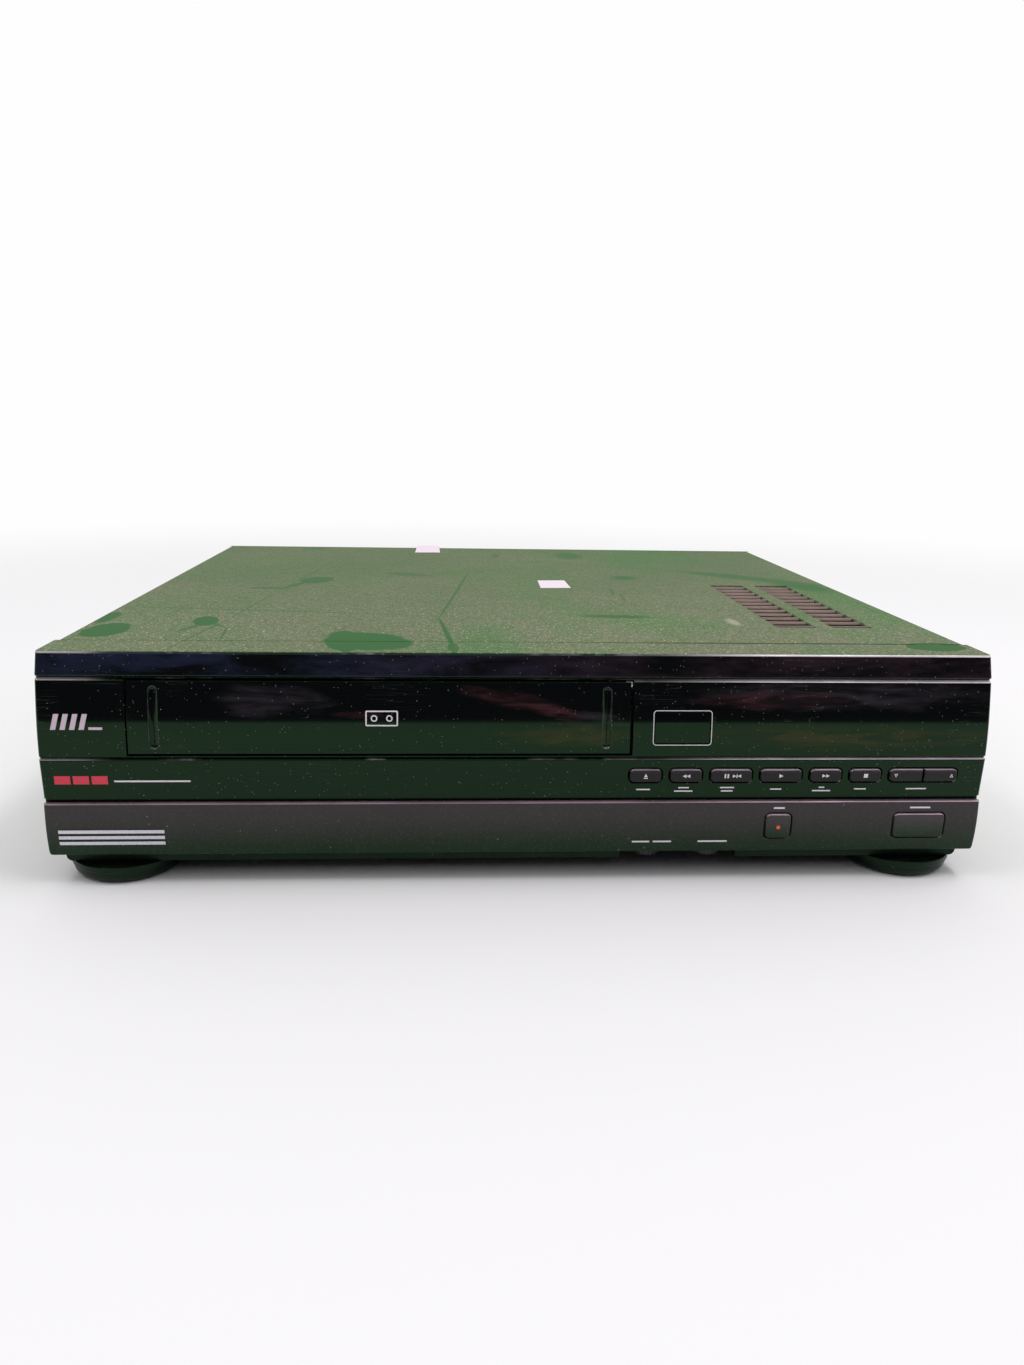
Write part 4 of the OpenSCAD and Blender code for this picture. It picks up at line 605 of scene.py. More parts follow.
def makeMoulded(name, colour, roughness=0.45, grain=1400, depth=0.02, spread=0.12, shine=0.5,
                tint=(1.0, 1.0, 1.0, 1.0)):
    # satin mouldings, paints and rubber: fine grain, slight unevenness and dull patches
    material, shader, coords = startMaterial(name)
    patches = ramp(noise(coords, 45, 4.0, 0.6), 0.3, 0.7)
    base = blendColours(patches, scaled(colour, 1 - spread), scaled(colour, 1 + spread, 0.004))
    dust = times(specks(coords, 320, 0.14, 0.12), 0.25)
    fill(shader, {"Base Color": blendColours(dust, base, linear(150, 148, 138)), "Specular IOR Level": shine,
                  "Specular Tint": tint,
                  "Roughness": ramp(noise(coords, 80, 3.0), 0.3, 0.7, roughness - 0.06, roughness + 0.08)})
    bumped(shader, noise(coords, grain, 2.0, 0.6), depth, 0.5)
    return material


def makeMetal(name, colour, roughness=0.3, turned=False, tarnish=0.25):
    # plated and turned metals: brushed streaks, cloudy plating and small stains
    material, shader, coords = startMaterial(name)
    brush = noise(mapped(coords, (60, 60, 2200) if turned else (1600, 90, 400)), 1.0, 3.0, 0.6)
    clouds = ramp(noise(coords, 70, 4.0, 0.65), 0.35, 0.75)
    rough = plus(ramp(brush, 0.3, 0.7, roughness - 0.08, roughness + 0.1), times(clouds, 0.08))
    fill(shader, {"Base Color": blendColours(clouds, colour, scaled(colour, 1 - tarnish)), "Metallic": 1.0,
                  "Roughness": rough})
    bumped(shader, brush, 0.006, 0.4)
    return material


def makeBoard():
    # green lacquer over copper tracks, with tinned pads
    material, shader, coords = startMaterial("boardLacquer")
    tracks = noise(mapped(coords, (1, 1, 0.2)), 160, 0.0, 0.0)
    edge = ramp(apart(tracks, 0.5), 0.035, 0.02)
    pads = specks(coords, 240, 0.2, 0.35)
    base = blendColours(edge, linear(28, 84, 40), linear(62, 128, 66))
    fill(shader, {"Base Color": blendColours(pads, base, linear(176, 176, 168)),
                  "Roughness": ramp(pads, 0.0, 1.0, 0.32, 0.22)})
    bumped(shader, plus(edge, pads), 0.05, 0.4)
    return material


def makePrint(name, colour, roughness=0.4, metallic=0.0):
    material, shader, coords = startMaterial(name)
    fade = ramp(noise(coords, 900, 3.0, 0.7), 0.3, 0.6, 0.86, 1.0)
    fill(shader, {"Base Color": blendColours(fade, scaled(colour, 0.6), colour), "Metallic": metallic,
                  "Roughness": ramp(noise(coords, 300, 2.0), 0.3, 0.7, roughness, roughness + 0.1)})
    return material


greenSheen = (0.5, 1.0, 0.6, 1.0)
finishes = {
    "cover_enamel": makeEnamel(),
    "gloss_black": makeGloss("glossBlack", gloss["roughness"], gloss["base"]),
    "charcoal": makeCharcoal("charcoalPlastic", 10.5, 33.5),
    "charcoal_key": makeCharcoal("charcoalKey", 17.5, 29.5, 10),
    "key_black": makeKeyBlack(),
    "smoked_lens": makeGloss("smokedLens", gloss["lensRoughness"], gloss["lens"], dustAndReflections=False),
    # the green in the pan and foot colours is a painted reflection of green surroundings
    "pan_black": makeMoulded("panBlack", linear(9, 18, 10), 0.42, shine=0.25, tint=greenSheen),
    "rear_black": makeMoulded("rearBlack", linear(40, 40, 42), 0.5, 900, 0.05),
    "foot_black": makeMoulded("footBlack", linear(5, 13, 7), 0.3, 1100, 0.03, shine=0.25, tint=greenSheen),
    "vent_edge": makeMoulded("ventEdge", linear(204, 184, 174), 0.4, 1200, 0.02, 0.06),
    "zinc_steel": makeMetal("zincSteel", linear(205, 206, 206), 0.32),
    "black_steel": makeMetal("blackSteel", linear(58, 58, 62), 0.35),
    "drum_alloy": makeMetal("drumAlloy", linear(222, 224, 226), 0.18, turned=True, tarnish=0.1),
    "black_rubber": makeMoulded("blackRubber", linear(26, 26, 26), 0.7, 700, 0.04),
    "bright_metal": makeMetal("brightMetal", linear(226, 224, 216), 0.16, tarnish=0.12),
    "tin_plate": makeMetal("tinPlate", linear(212, 214, 214), 0.27, tarnish=0.2),
    "board_green": makeBoard(),
    "dark_plastic": makeMoulded("darkPlastic", linear(34, 34, 36), 0.4),
    "white_plastic": makeMoulded("whitePlastic", linear(222, 220, 206), 0.4, 900, 0.015, 0.05),
    "bearing_bronze": makeMetal("bearingBronze", linear(196, 146, 82), 0.34),
    "core_iron": makeMoulded("coreIron", linear(84, 76, 68), 0.5, 500, 0.08, 0.25),
    "control_blue": makeMoulded("controlBlue", linear(52, 74, 130), 0.4),
    "line_print": makePrint("linePrint", linear(222, 220, 220)),
    "white_print": makePrint("whitePrint", linear(236, 230, 236)),
    "pink_print": makePrint("pinkPrint", linear(222, 200, 214)),
    "red_print": makePrint("redPrint", linear(225, 52, 76)),
    "orange_print": makePrint("orangePrint", linear(255, 100, 56)),
    "silver_print": makePrint("silverPrint", linear(205, 203, 212), 0.25, 0.9),
    "paper": makePrint("blankPaper", linear(240, 226, 236), 0.7),
}
for row in frame["record"]["subparts"]:
    carried = nodes[row["node"]]
    carried.data.materials.clear()
    carried.data.materials.append(finishes[row["material_slot"]])
print("finishes made", len(finishes))

# Repeats: one unit on every point, turned by the point's own angles

def makeRepeatTree():
    tree = bpy.data.node_groups.new("repeatUnit", "GeometryNodeTree")
    sockets = {"Places": tree.interface.new_socket("Places", in_out="INPUT", socket_type="NodeSocketGeometry")}
    for label, kind in (("Unit", "NodeSocketObject"), ("Size", "NodeSocketFloat"), ("Finish", "NodeSocketMaterial")):
        sockets[label] = tree.interface.new_socket(label, in_out="INPUT", socket_type=kind)
    tree.interface.new_socket("Result", in_out="OUTPUT", socket_type="NodeSocketGeometry")
    add = tree.nodes.new
    start, end, unit = add("NodeGroupInput"), add("NodeGroupOutput"), add("GeometryNodeObjectInfo")
    turns, euler = add("GeometryNodeInputNamedAttribute"), add("FunctionNodeEulerToRotation")
    spread, real = add("GeometryNodeInstanceOnPoints"), add("GeometryNodeRealizeInstances")
    finish = add("GeometryNodeSetMaterial")
    turns.data_type = "FLOAT_VECTOR"
    turns.inputs["Name"].default_value = "turn"
    for source, output, target, name in (
            (start, "Places", spread, "Points"), (start, "Unit", unit, "Object"), (start, "Size", spread, "Scale"),
            (unit, "Geometry", spread, "Instance"), (turns, "Attribute", euler, "Euler"),
            (euler, "Rotation", spread, "Rotation"), (spread, "Instances", real, "Geometry"),
            (real, "Geometry", finish, "Geometry"), (start, "Finish", finish, "Material"),
            (finish, "Geometry", end, "Result")):
        feed(target, name, source.outputs[output])
    return tree, {label: socket.identifier for label, socket in sockets.items()}


repeatTree, repeatSockets = makeRepeatTree()


def repeatUnit(name, unit, places, turns, finish, size=1.0):
    # unit is drawn round the origin; places are in millimetres, turns in degrees
    mesh = bpy.data.meshes.new(name)
    mesh.from_pydata([place(*p) for p in places], [], [])
    turnData = mesh.attributes.new("turn", "FLOAT_VECTOR", "POINT")
    for item, turn in zip(turnData.data, turns):
        item.vector = [math.radians(a) for a in turn]
    piece = addObject(name, mesh)
    modifier = piece.modifiers.new("repeat", "NODES")
    modifier.node_group = repeatTree
    modifier[repeatSockets["Unit"]] = unit
    modifier[repeatSockets["Size"]] = size
    modifier[repeatSockets["Finish"]] = finish
    bakeModifiers(piece)
    bpy.data.objects.remove(unit)
    return piece


def centred(piece):
    # a unit is drawn with makePiece, then brought back to the origin
    shift = place(0, 0, 0)
    for vertex in piece.data.vertices:
        vertex.co -= shift
    return piece


# Front bezel

bezel = {
    "topRound": 1.6, "stripRound": 0.5, "midRound": 0.6, "keyRound": 0.6, "edge": 0.18,
    "doorHalf": 99.6, "doorLow": 54.5, "doorHigh": 84.7, "openingBack": 3.8,
    "windowLeft": 52.0, "windowWidth": 22.2, "windowLow": 59.5, "windowHigh": 72.1, "windowGap": 0.3,
    "keyGap": 0.6, "holeRound": 2.5, "cutFront": -12.0, "cutBack": 5.0, "insideTop": 3.1, "insideLow": 0.9,
    "hingeY": -0.6, "hingeZ": 82.7, "earX": 100.6, "earWidth": 2.0, "earHalf": 3.4, "earY": (-1.5, 2.8),
    "earBore": 1.25, "webFront": 0.6, "webLow": 3.2, "postX": (46.0, 94.0, 148.0), "postZ": keyEndZ - 2,
    "postY": (-2.0, 6.0), "postRadius": 3.0, "postBore": 1.65,
}
lowKeys = {"centre": lowZ - 10.6, "height": 10.6, "round": 1.9, "proud": 0.5,
           "finish": "charcoal_key", "slot": "charcoal"}


def rounded(line, first, last):
    return [(y, z, first if i == 0 else last if i == len(line) - 1 else 0) for i, (y, z) in enumerate(line)]


def endSteps(r, extra=()):
    # distances from the end, close together where the corner turns
    return [r - r * math.cos(math.radians(a)) for a in range(0, 91, 15)] + list(extra)


def endInset(d, r):
    return r - math.sqrt(max(0.0, r * r - (r - d) ** 2)) if d < r else 0.0


def bothEnds(ringAt, outline, steps):
    return ([ringAt(outline, d - halfWidth, d) for d in steps]
            + [ringAt(outline, halfWidth - d, d) for d in reversed(steps)])


def bezelRing(outline, x, d):
    inset = endInset(d, front["endRound"])
    # the face above the lower panel turns back at both ends
    return [(x, y + inset if z > keyEndZ - 0.01 and y < front["returnDepth"] - 2 and y != -front["shelf"] else y, z)
            for y, z in outline]


def holeCutter(name, x0, x1, group):
    gap, half = bezel["keyGap"], group["height"] / 2
    loop = roundBox(x0 - gap, group["centre"] - half - gap, x1 + gap, group["centre"] + half + gap, bezel["holeRound"])
    return prismY(name, loop, bezel["cutFront"], bezel["cutBack"])


def span(node):
    low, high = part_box(node)
    return low.x / mm, high.x / mm


stripNames = ["eject_button", "rewind_button", "pause_button", "play_button", "fast_forward_button", "stop_button"]
lowNames = ["record_button", "power_button"]
pair = (span("channel_down_button")[0], span("channel_up_button")[1])


def makeBezel():
    wall = front["wall"]
    outline = fillet([(front["returnDepth"], topZ, 0), (0, topZ, bezel["topRound"]),
                      (-front["stripLean"], stripZ, bezel["stripRound"]),
                      (front["grooveDepth"] - front["stripLean"], stripZ - front["grooveHeight"] / 2, 0.2)]
                     + rounded(bandLine(midY, midZ, midEndZ), bezel["midRound"], 0.4)
                     + [(midY(midEndZ) + front["grooveDepth"], midEndZ - front["ledgeHeight"] / 2, 0.2),
                        (keyY(keyZ), keyZ, bezel["keyRound"]), (keyY(keyEndZ), keyEndZ, 0.3),
                        (-front["shelf"], keyEndZ, 0), (-front["shelf"], lowEndZ, 0),
                        (front["returnDepth"], lowEndZ, 0)])
    steps = endSteps(front["endRound"])
    shell = loftRings("frontBezelShell", bothEnds(bezelRing, outline, steps))
    inside = ([(front["returnDepth"] + 1, topZ - wall), (bezel["insideTop"], topZ - wall), (bezel["insideLow"], midZ)]
              + bandLine(midY, midZ - wall, midEndZ, wall)
              + [(keyY(keyZ) + wall, keyZ), (keyY(keyEndZ) + wall, keyEndZ + wall + 1),
                 (wall - front["shelf"], keyEndZ + wall - 1), (wall - front["shelf"], lowEndZ - 1),
                 (front["returnDepth"] + 1, lowEndZ - 1)])
    boolean(shell, prismX("bezelInside", inside, wall - halfWidth, halfWidth - wall))
    boolean(shell, boxPiece("doorOpening", (deckX - bezel["doorHalf"], bezel["cutFront"], bezel["doorLow"]),
                            (deckX + bezel["doorHalf"], bezel["openingBack"], bezel["doorHigh"])))
    gap, left = bezel["windowGap"], bezel["windowLeft"]
    cutters = [boxPiece("windowHole", (left - gap, bezel["cutFront"], bezel["windowLow"] - gap),
                        (left + bezel["windowWidth"] + gap, wall, bezel["windowHigh"] + gap))]
    cutters += [holeCutter(name + "Hole", *span(name), strip) for name in stripNames]
    cutters += [holeCutter("pairHole", *pair, strip)]
    cutters += [holeCutter(name + "Hole", *span(name), lowKeys) for name in lowNames]
    boolean(shell, joinPieces(cutters[0], cutters[1:]))
    softenEdges(shell, bezel["edge"], 2)
    extras = []
    (earFront, earBack), hingeZ, half = bezel["earY"], bezel["hingeZ"], bezel["earHalf"]
    for side in (-1, 1):
        low, high = sorted((deckX + side * bezel["earX"], deckX + side * (bezel["earX"] + bezel["earWidth"])))
        ear = boxPiece("ear", (low, earFront, hingeZ - half), (high, earBack, hingeZ + half))
        boolean(ear, rodX("earBore", low - 1, high + 1, bezel["hingeY"], hingeZ, bezel["earBore"]))
        web = boxPiece("earWeb", (low, bezel["webFront"], hingeZ + bezel["webLow"]), (high, earBack, topZ - wall + 0.1))
        extras += [ear, web]
    postFront, postBack = bezel["postY"]
    for x in bezel["postX"]:
        tube = prismY("boardPost", arc(x, bezel["postZ"], bezel["postRadius"], 0, 360, 24)[:-1], postFront, postBack)
        bore = arc(x, bezel["postZ"], bezel["postBore"], 0, 360, 20)[:-1]
        extras.append(boolean(tube, prismY("postBore", bore, 0, postBack + 1)))
    joinPieces(shell, extras)
    return dress(smooth(shell), finishes["gloss_black"], "case", ["front_bezel"])


makeBezel()
print("bezel made")

# Lower front panel

lowPanel = {"back": -3.7, "topRound": 0.8, "lowRound": 0.6, "cornerRound": 2.0, "endRound": 1.2, "edge": 0.2}


def lowPanelRing(outline, x, d):
    inset = endInset(d, lowPanel["endRound"])
    lift = lowEndZ + endInset(d, lowPanel["cornerRound"])
    return [(x, y if y == lowPanel["back"] else min(y + inset, lowPanel["back"] - 0.1), max(z, lift))
            for y, z in outline]


def makeLowPanel():
    outline = fillet([(lowPanel["back"], lowZ, 0)]
                     + rounded(bandLine(lowY, lowZ, lowEndZ, steps=12), lowPanel["topRound"], lowPanel["lowRound"])
                     + [(lowPanel["back"], lowEndZ, 0)])
    steps = endSteps(lowPanel["endRound"], (1.5, 2.0))
    panel = loftRings("lowerPanelShell", bothEnds(lowPanelRing, outline, steps))
    for name in lowNames:
        boolean(panel, holeCutter(name + "Recess", *span(name), lowKeys))
    softenEdges(panel, lowPanel["edge"], 3)
    return dress(smooth(panel), finishes["charcoal"], "case", ["lower_front_panel"])


makeLowPanel()
print("lower panel made")

# Cassette door

def doorFaceY(z):
    return midY(z) + door["inset"]


def alongSides(loop, longest):
    # points along the straight sides, so that a loop follows a curved face
    full = []
    for (xa, za), (xb, zb) in zip(loop, loop[1:] + loop[:1]):
        cuts = 8 if max(abs(xb - xa), abs(zb - za)) > longest else 1
        full += [(xa + (xb - xa) * k / cuts, za + (zb - za) * k / cuts) for k in range(cuts)]
    return full


def makeDoor():
    back = door["inset"] + door["thickness"]
    loop = bandLine(midY, door["high"], door["low"], door["inset"]) + bandLine(midY, door["low"], door["high"], back)
    slab = prismX("cassetteDoorSlab", loop, deckX - door["left"], deckX + door["right"])
    middle = (door["high"] + door["low"]) / 2
    half = door["grooveHeight"] / 2
    for side in (-1, 1):
        x = deckX + side * door["grooveX"]
        rings = []
        for inset, depth in door["groove"]:
            wide, tall = door["grooveWidth"] / 2 - inset, half - inset
            loop = alongSides(roundBox(x - wide, middle - tall, x + wide, middle + tall, wide - 0.01), 3.0)
            rings.append([(a, doorFaceY(b) + depth, b) for a, b in loop])
        boolean(slab, loftRings("groove", rings))
    (x0, x1), (y0, y1), (z0, z1) = door["pocketX"], door["pocketY"], door["pocketZ"]
    boolean(slab, boxPiece("springPocket", (deckX + x0, y0, z0), (deckX + x1, y1, z1)))
    softenEdges(slab, door["edge"], 2)
    extras = []
    (y0, y1), (z0, z1) = door["lugY"], door["lugZ"]
    for side in (-1, 1):
        start = deckX + side * door["lugX"]
        low, high = sorted((start, start + side * door["lugWidth"]))
        lug = boxPiece("doorLug", (low, y0, bezel["hingeZ"] + z0), (high, y1, bezel["hingeZ"] + z1))
        low, high = sorted((start, deckX + side * door["stubEnd"]))
        stub = rodX("doorStub", low, high, bezel["hingeY"], bezel["hingeZ"], door["stub"])
        extras += [softenEdges(lug, 0.25, 2), softenEdges(stub, 0.15, 2)]
    joinPieces(slab, extras)
    return dress(smooth(slab), finishes["gloss_black"], "door", ["cassette_door"])


makeDoor()
print("cassette door made")

# Display window

lens = {"inset": 0.15, "rim": 2.0, "seat": -2.25, "rimDepth": 1.2,
        "lineWidth": 0.32, "lineRound": 1.5, "lineOut": 0.85}


def makeWindow():
    x0, x1 = bezel["windowLeft"], bezel["windowLeft"] + bezel["windowWidth"]
    z0, z1 = bezel["windowLow"], bezel["windowHigh"]
    face = bandLine(midY, z1, z0, lens["inset"], 10)
    pane = prismX("displayLens", face + [(lens["seat"], z0), (lens["seat"], z1)], x0, x1)
    softenEdges(pane, 0.15, 2)
    plate = boxPiece("lensPlate", (x0 - lens["rim"], lens["seat"], z0 - lens["rim"]),
                     (x1 + lens["rim"], lens["seat"] + lens["rimDepth"], z1 + lens["rim"]))
    joinPieces(pane, [softenEdges(plate, 0.2, 2)])
    return dress(smooth(pane), finishes["smoked_lens"], "case", ["display_window"])


makeWindow()

# Keys

keyShape = {
    "rings": [(0.0, 0.7), (0.1, 0.4), (0.3, 0.12), (0.65, 0.0)], "rim": 1.0, "flange": 1.0, "least": 0.12,
    "stemEnd": 2.0, "stemHalf": (2.0, 1.6), "joint": 0.3, "clearance": 0.3,
}


def makeKey(node, group, faceY, back, left, right):
    (x0, x1), zc, half = span(node), group["centre"], group["height"] / 2
    slope = (faceY(zc + half) - faceY(zc - half)) / (2 * half)

    def ring(inset, depth):
        loop = roundBox(x0 + inset, zc - half + inset, x1 - inset, zc + half - inset,
                        max(keyShape["least"], left - inset), max(keyShape["least"], right - inset), 7)
        return [(x, faceY(zc) + slope * (z - zc) - group["proud"] + depth, z) for x, z in loop]

    base = [(x, back, z) for x, _, z in ring(0, 0)]
    cap = loftRings(node + "Cap", [base] + [ring(inset, depth) for inset, depth in keyShape["rings"]])
    rim = half + bezel["keyGap"] + keyShape["rim"]
    flange = boxPiece("flange", (x0, back, zc - rim), (x1, back + keyShape["flange"], zc + rim))
    middle, (wide, tall) = (x0 + x1) / 2, keyShape["stemHalf"]
    stem = boxPiece("stem", (middle - wide, back + 0.5, zc - tall), (middle + wide, keyShape["stemEnd"], zc + tall))
    joinPieces(cap, [softenEdges(flange, 0.15, 1), softenEdges(stem, 0.2, 1)])
    return dress(smooth(cap, 50), finishes[group["finish"]], node.replace("_button", "_key"), [node])


stripEnds = {name: (strip["round"], strip["round"]) for name in stripNames}
stripEnds["channel_down_button"] = (strip["round"], keyShape["joint"])
stripEnds["channel_up_button"] = (keyShape["joint"], strip["round"])
for name, ends in stripEnds.items():
    makeKey(name, strip, keyY, keyY(keyEndZ) + front["wall"] + keyShape["clearance"], *ends)
for name in lowNames:
    lowBack = front["wall"] - front["shelf"] + keyShape["clearance"]
    makeKey(name, lowKeys, lowY, lowBack, lowKeys["round"], lowKeys["round"])
print("keys made")

# Top cover with its vents

cover = {
    "half": 189.0, "low": 8.5, "bend": 1.5, "sheet": 1.0, "front": 20.8, "flangeY": 348.2, "flangeLow": 83.0,
    "flangeBend": 1.2, "ventLeft": (119.0, 145.0), "ventWidth": 18.5, "ventStart": 56.0, "ventPitch": 10.4,
    "ventRows": 12, "slat": 6.0, "dip": 2.4, "slatFace": 1.4, "slatReach": 0.5, "edge": 0.2,
    "ledgeHalf": 183.0, "ledgeStart": 15.5, "ledgeEnd": 21.8, "ledgeLow": 91.2,
}


def makeCover():
    h, r, t = cover["half"], cover["bend"], cover["sheet"]
    outer = arc(r - h, topZ - r, r, 180, 90, 6) + arc(h - r, topZ - r, r, 90, 0, 6)
    inner = arc(h - r, topZ - r, r - t, 0, 90, 4) + arc(r - h, topZ - r, r - t, 90, 180, 4)
    loop = [(-h, cover["low"])] + outer + [(h, cover["low"]), (h - t, cover["low"])] + inner + [(t - h, cover["low"])]
    shell = prismY("topCoverShell", loop, cover["front"], caseDepth)
    rear = cover["flangeY"] + t
    bend, start, low = cover["flangeBend"], caseDepth - 0.5, cover["flangeLow"]
    lip = ([(start, topZ)] + arc(rear - bend, topZ - bend, bend, 90, 0, 5)
           + [(rear, low), (rear - t, low), (rear - t, topZ - t), (start, topZ - t)])
    boolean(shell, prismX("rearLip", lip, 0.6 - h, h - 0.6), "UNION")
    ventEnd = cover["ventStart"] + cover["ventRows"] * cover["ventPitch"]
    cutters = [boxPiece("ventCut", (x, cover["ventStart"], topZ - 3), (x + cover["ventWidth"], ventEnd, topZ + 2))
               for x in cover["ventLeft"]]
    boolean(shell, joinPieces(cutters[0], cutters[1:]))
    softenEdges(shell, cover["edge"], 2, 50)
    # the joggled ledge under the bezel
    half, low, end = cover["ledgeHalf"], cover["ledgeLow"], cover["ledgeEnd"]
    joggle = boxPiece("joggle", (-half, cover["ledgeStart"], low), (half, end, low + t))
    riser = boxPiece("riser", (-half, end - t, low + t - 0.1), (half, end, topZ - 0.5))
    joinPieces(shell, [joggle, riser])
    return shell


def makeSlats():
    d, dip, t = cover["slat"], cover["dip"], cover["sheet"]
    corners = [(0, -t / 2, 0), (0, -cover["slatFace"], 0.1), (d, -t - dip, 0.3), (d, -dip, 0.3), (0, 0, 0.12)]
    loop = fillet(corners + [corners[0]], 3)[:-1]
    unit = centred(prismX("ventSlat", loop, -cover["slatReach"], cover["ventWidth"] + cover["slatReach"]))
    places = [(x, cover["ventStart"] + (row + 1) * cover["ventPitch"] - d, topZ - 0.02)
              for x in cover["ventLeft"] for row in range(cover["ventRows"])]
    return repeatUnit("coverSlats", unit, places, [(0, 0, 0)] * len(places), finishes["vent_edge"])


dress(smooth(makeCover()), finishes["cover_enamel"], "case", ["top_cover"])
dress(smooth(makeSlats()), finishes["vent_edge"], "case", ["top_cover"])
print("cover made")

# Feet

foot = {
    "radius": 22.5, "height": 7.5, "flange": 2.4, "lip": 0.6, "round": 4.2, "bore": 2.2, "recess": 5.0, "seat": 2.6,
    "x": 165.0, "front": 14.5, "rear": 310.0,
}


def lathe(name, profile, steps):
    # the profile is a closed loop of (radius, z) that stays off the axis
    rings = [[(r * math.cos(2 * math.pi * k / steps), r * math.sin(2 * math.pi * k / steps), z) for r, z in profile]
             for k in range(steps)]
    return loftRings(name, rings + [rings[0]], closed=False)


def makeFeet():
    r = foot["radius"]
    bend = arc(r - foot["lip"] - foot["round"], foot["round"], foot["round"], 270, 355, 8)
    top, edge = foot["height"], foot["height"] - foot["flange"]
    profile = fillet([(foot["bore"], top, 0), (foot["bore"], foot["seat"], 0.2), (foot["recess"], foot["seat"], 0.2),
                      (foot["recess"], 0, 0.4)] + [(a, b, 0) for a, b in bend]
                     + [(r - foot["lip"], edge, 0.25), (r, edge, 0.35), (r, top, 0.3), (foot["bore"], top, 0)], 3)[:-1]
    unit = centred(lathe("footUnit", profile, 96))
    places = [(x, y, 0) for x in (-foot["x"], foot["x"]) for y in (foot["front"], foot["rear"])]
    feet = repeatUnit("rubberFeet", unit, places, [(0, 0, 0)] * 4, finishes["foot_black"])
    return dress(smooth(feet), finishes["foot_black"], "case", ["feet"])


makeFeet()

# Tracking wheels with knurled rims

wheel = {"radius": 5.2, "body": 4.8, "height": 3.0, "ribs": 18, "rib": 0.8, "ribLength": 1.2, "bore": 1.55}


def makeWheel(node, body):
    low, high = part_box(node)
    spot = ((low.x + high.x) / 2 / mm, (low.y + high.y) / 2 / mm - frontEdge, low.z / mm)
    bore, out, top, rib = wheel["bore"], wheel["body"], wheel["height"], wheel["rib"] / 2
    profile = fillet([(bore, top, 0), (bore, 0, 0), (out, 0, 0.4), (out, top, 0.4), (bore, top, 0)], 3)[:-1]
    hub = repeatUnit(node + "Disc", centred(lathe("wheelUnit", profile, 72)), [spot], [(0, 0, 0)],
                     finishes["dark_plastic"])
    loop = roundBox(wheel["radius"] - wheel["ribLength"], -rib, wheel["radius"], rib, 0.3, steps=2)
    ribs = repeatUnit(node + "Ribs", centred(prismZ("ribUnit", loop, 0.1, top - 0.1)), [spot] * wheel["ribs"],
                      [(0, 0, 360 * k / wheel["ribs"]) for k in range(wheel["ribs"])], finishes["dark_plastic"])
    joinPieces(hub, [ribs])
    return dress(smooth(hub), finishes["dark_plastic"], body, [node])


makeWheel("slow_tracking_wheel", "slow_wheel")
makeWheel("tracking_wheel", "track_wheel")
print("feet and wheels made")

# Pan-head screws with a cross recess

screw = {
    "head": 3.4, "shaft": 1.6, "cross": 1.9, "slot": 0.45, "core": 0.02,
    "sideRise": 0.95, "sideLength": 4.5, "sideY": (58, 290), "sideUp": 9.0,
    "rearRise": 1.6, "rearLength": 3.2, "rearX": (-150, 0, 150), "rearDown": 6.0, "rearSeat": 1.2,
}


def screwUnit(rise, length):
    head, shaft, core = screw["head"], screw["shaft"], screw["core"]
    profile = fillet([(core, -rise, 0), (head * 0.6, -rise, 0.6), (head, -rise * 0.25, 0.25), (head, 0, 0.1),
                      (shaft, 0, 0.1), (shaft, length, 0.1), (core, length, 0)], 4)
    unit = lathe("screwUnit", profile, 32)
    for a, b in ((screw["slot"], screw["cross"]), (screw["cross"], screw["slot"])):
        boolean(unit, boxPiece("crossCut", (-a, -b, -rise - 1), (a, b, -rise * 0.45)))
    return smooth(centred(unit), 40)


def makeScrews():
    places = [(side * cover["half"], y, foot["height"] + screw["sideUp"]) for side in (-1, 1) for y in screw["sideY"]]
    turns = [(0, 90, 0)] * 2 + [(0, -90, 0)] * 2
    side = repeatUnit("coverScrewSet", screwUnit(screw["sideRise"], screw["sideLength"]), places, turns,
                      finishes["black_steel"])
    places = [(x, caseDepth + screw["rearSeat"], topZ - screw["rearDown"]) for x in screw["rearX"]]
    rear = repeatUnit("rearScrews", screwUnit(screw["rearRise"], screw["rearLength"]), places, [(90, 0, 0)] * 3,
                      finishes["black_steel"])
    joinPieces(side, [rear])
    return dress(smooth(side, 40), finishes["black_steel"], "case", ["cover_screws"])


makeScrews()
print("screws made")

# Printed and raised marks: thin closed meshes on the faces

mark = {"lift": 0.05, "sink": 0.04}


def layers(line, inner, faceY, lift):
    # a mark starts just under the face and ends just above it
    return [[(x, faceY(z) + depth, z) for x, z in loop]
            for loop, depth in ((line, mark["sink"]), (line, -lift), (inner, -lift), (inner, mark["sink"]))]


def markPiece(name, shapes, faceY, finish, body, lift=mark["lift"]):
    parts = [loftRings(name if i == 0 else "part", layers(shape, shape, faceY, lift)[:2])
             for i, shape in enumerate(shapes)]
    return dress(joinPieces(parts[0], parts[1:]), finishes[finish], body)


def ringMark(name, x0, z0, x1, z1, r, width, faceY, finish, body):
    # a closed line of even width, with points along its straight sides so that it follows a curved face
    outer, inner = (alongSides(roundBox(x0 + inset, z0 + inset, x1 - inset, z1 - inset, max(0.05, r - inset)),
                               0.6 * r + 0.5) for inset in (0, width))
    rings = layers(outer, inner, faceY, mark["lift"])
    return dress(loftRings(name, rings + [rings[0]], closed=False), finishes[finish], body)


def bar(x0, x1, z0, z1, lean=0.0):
    return [(x0, z0), (x1, z0), (x1 + lean, z1), (x0 + lean, z1)]


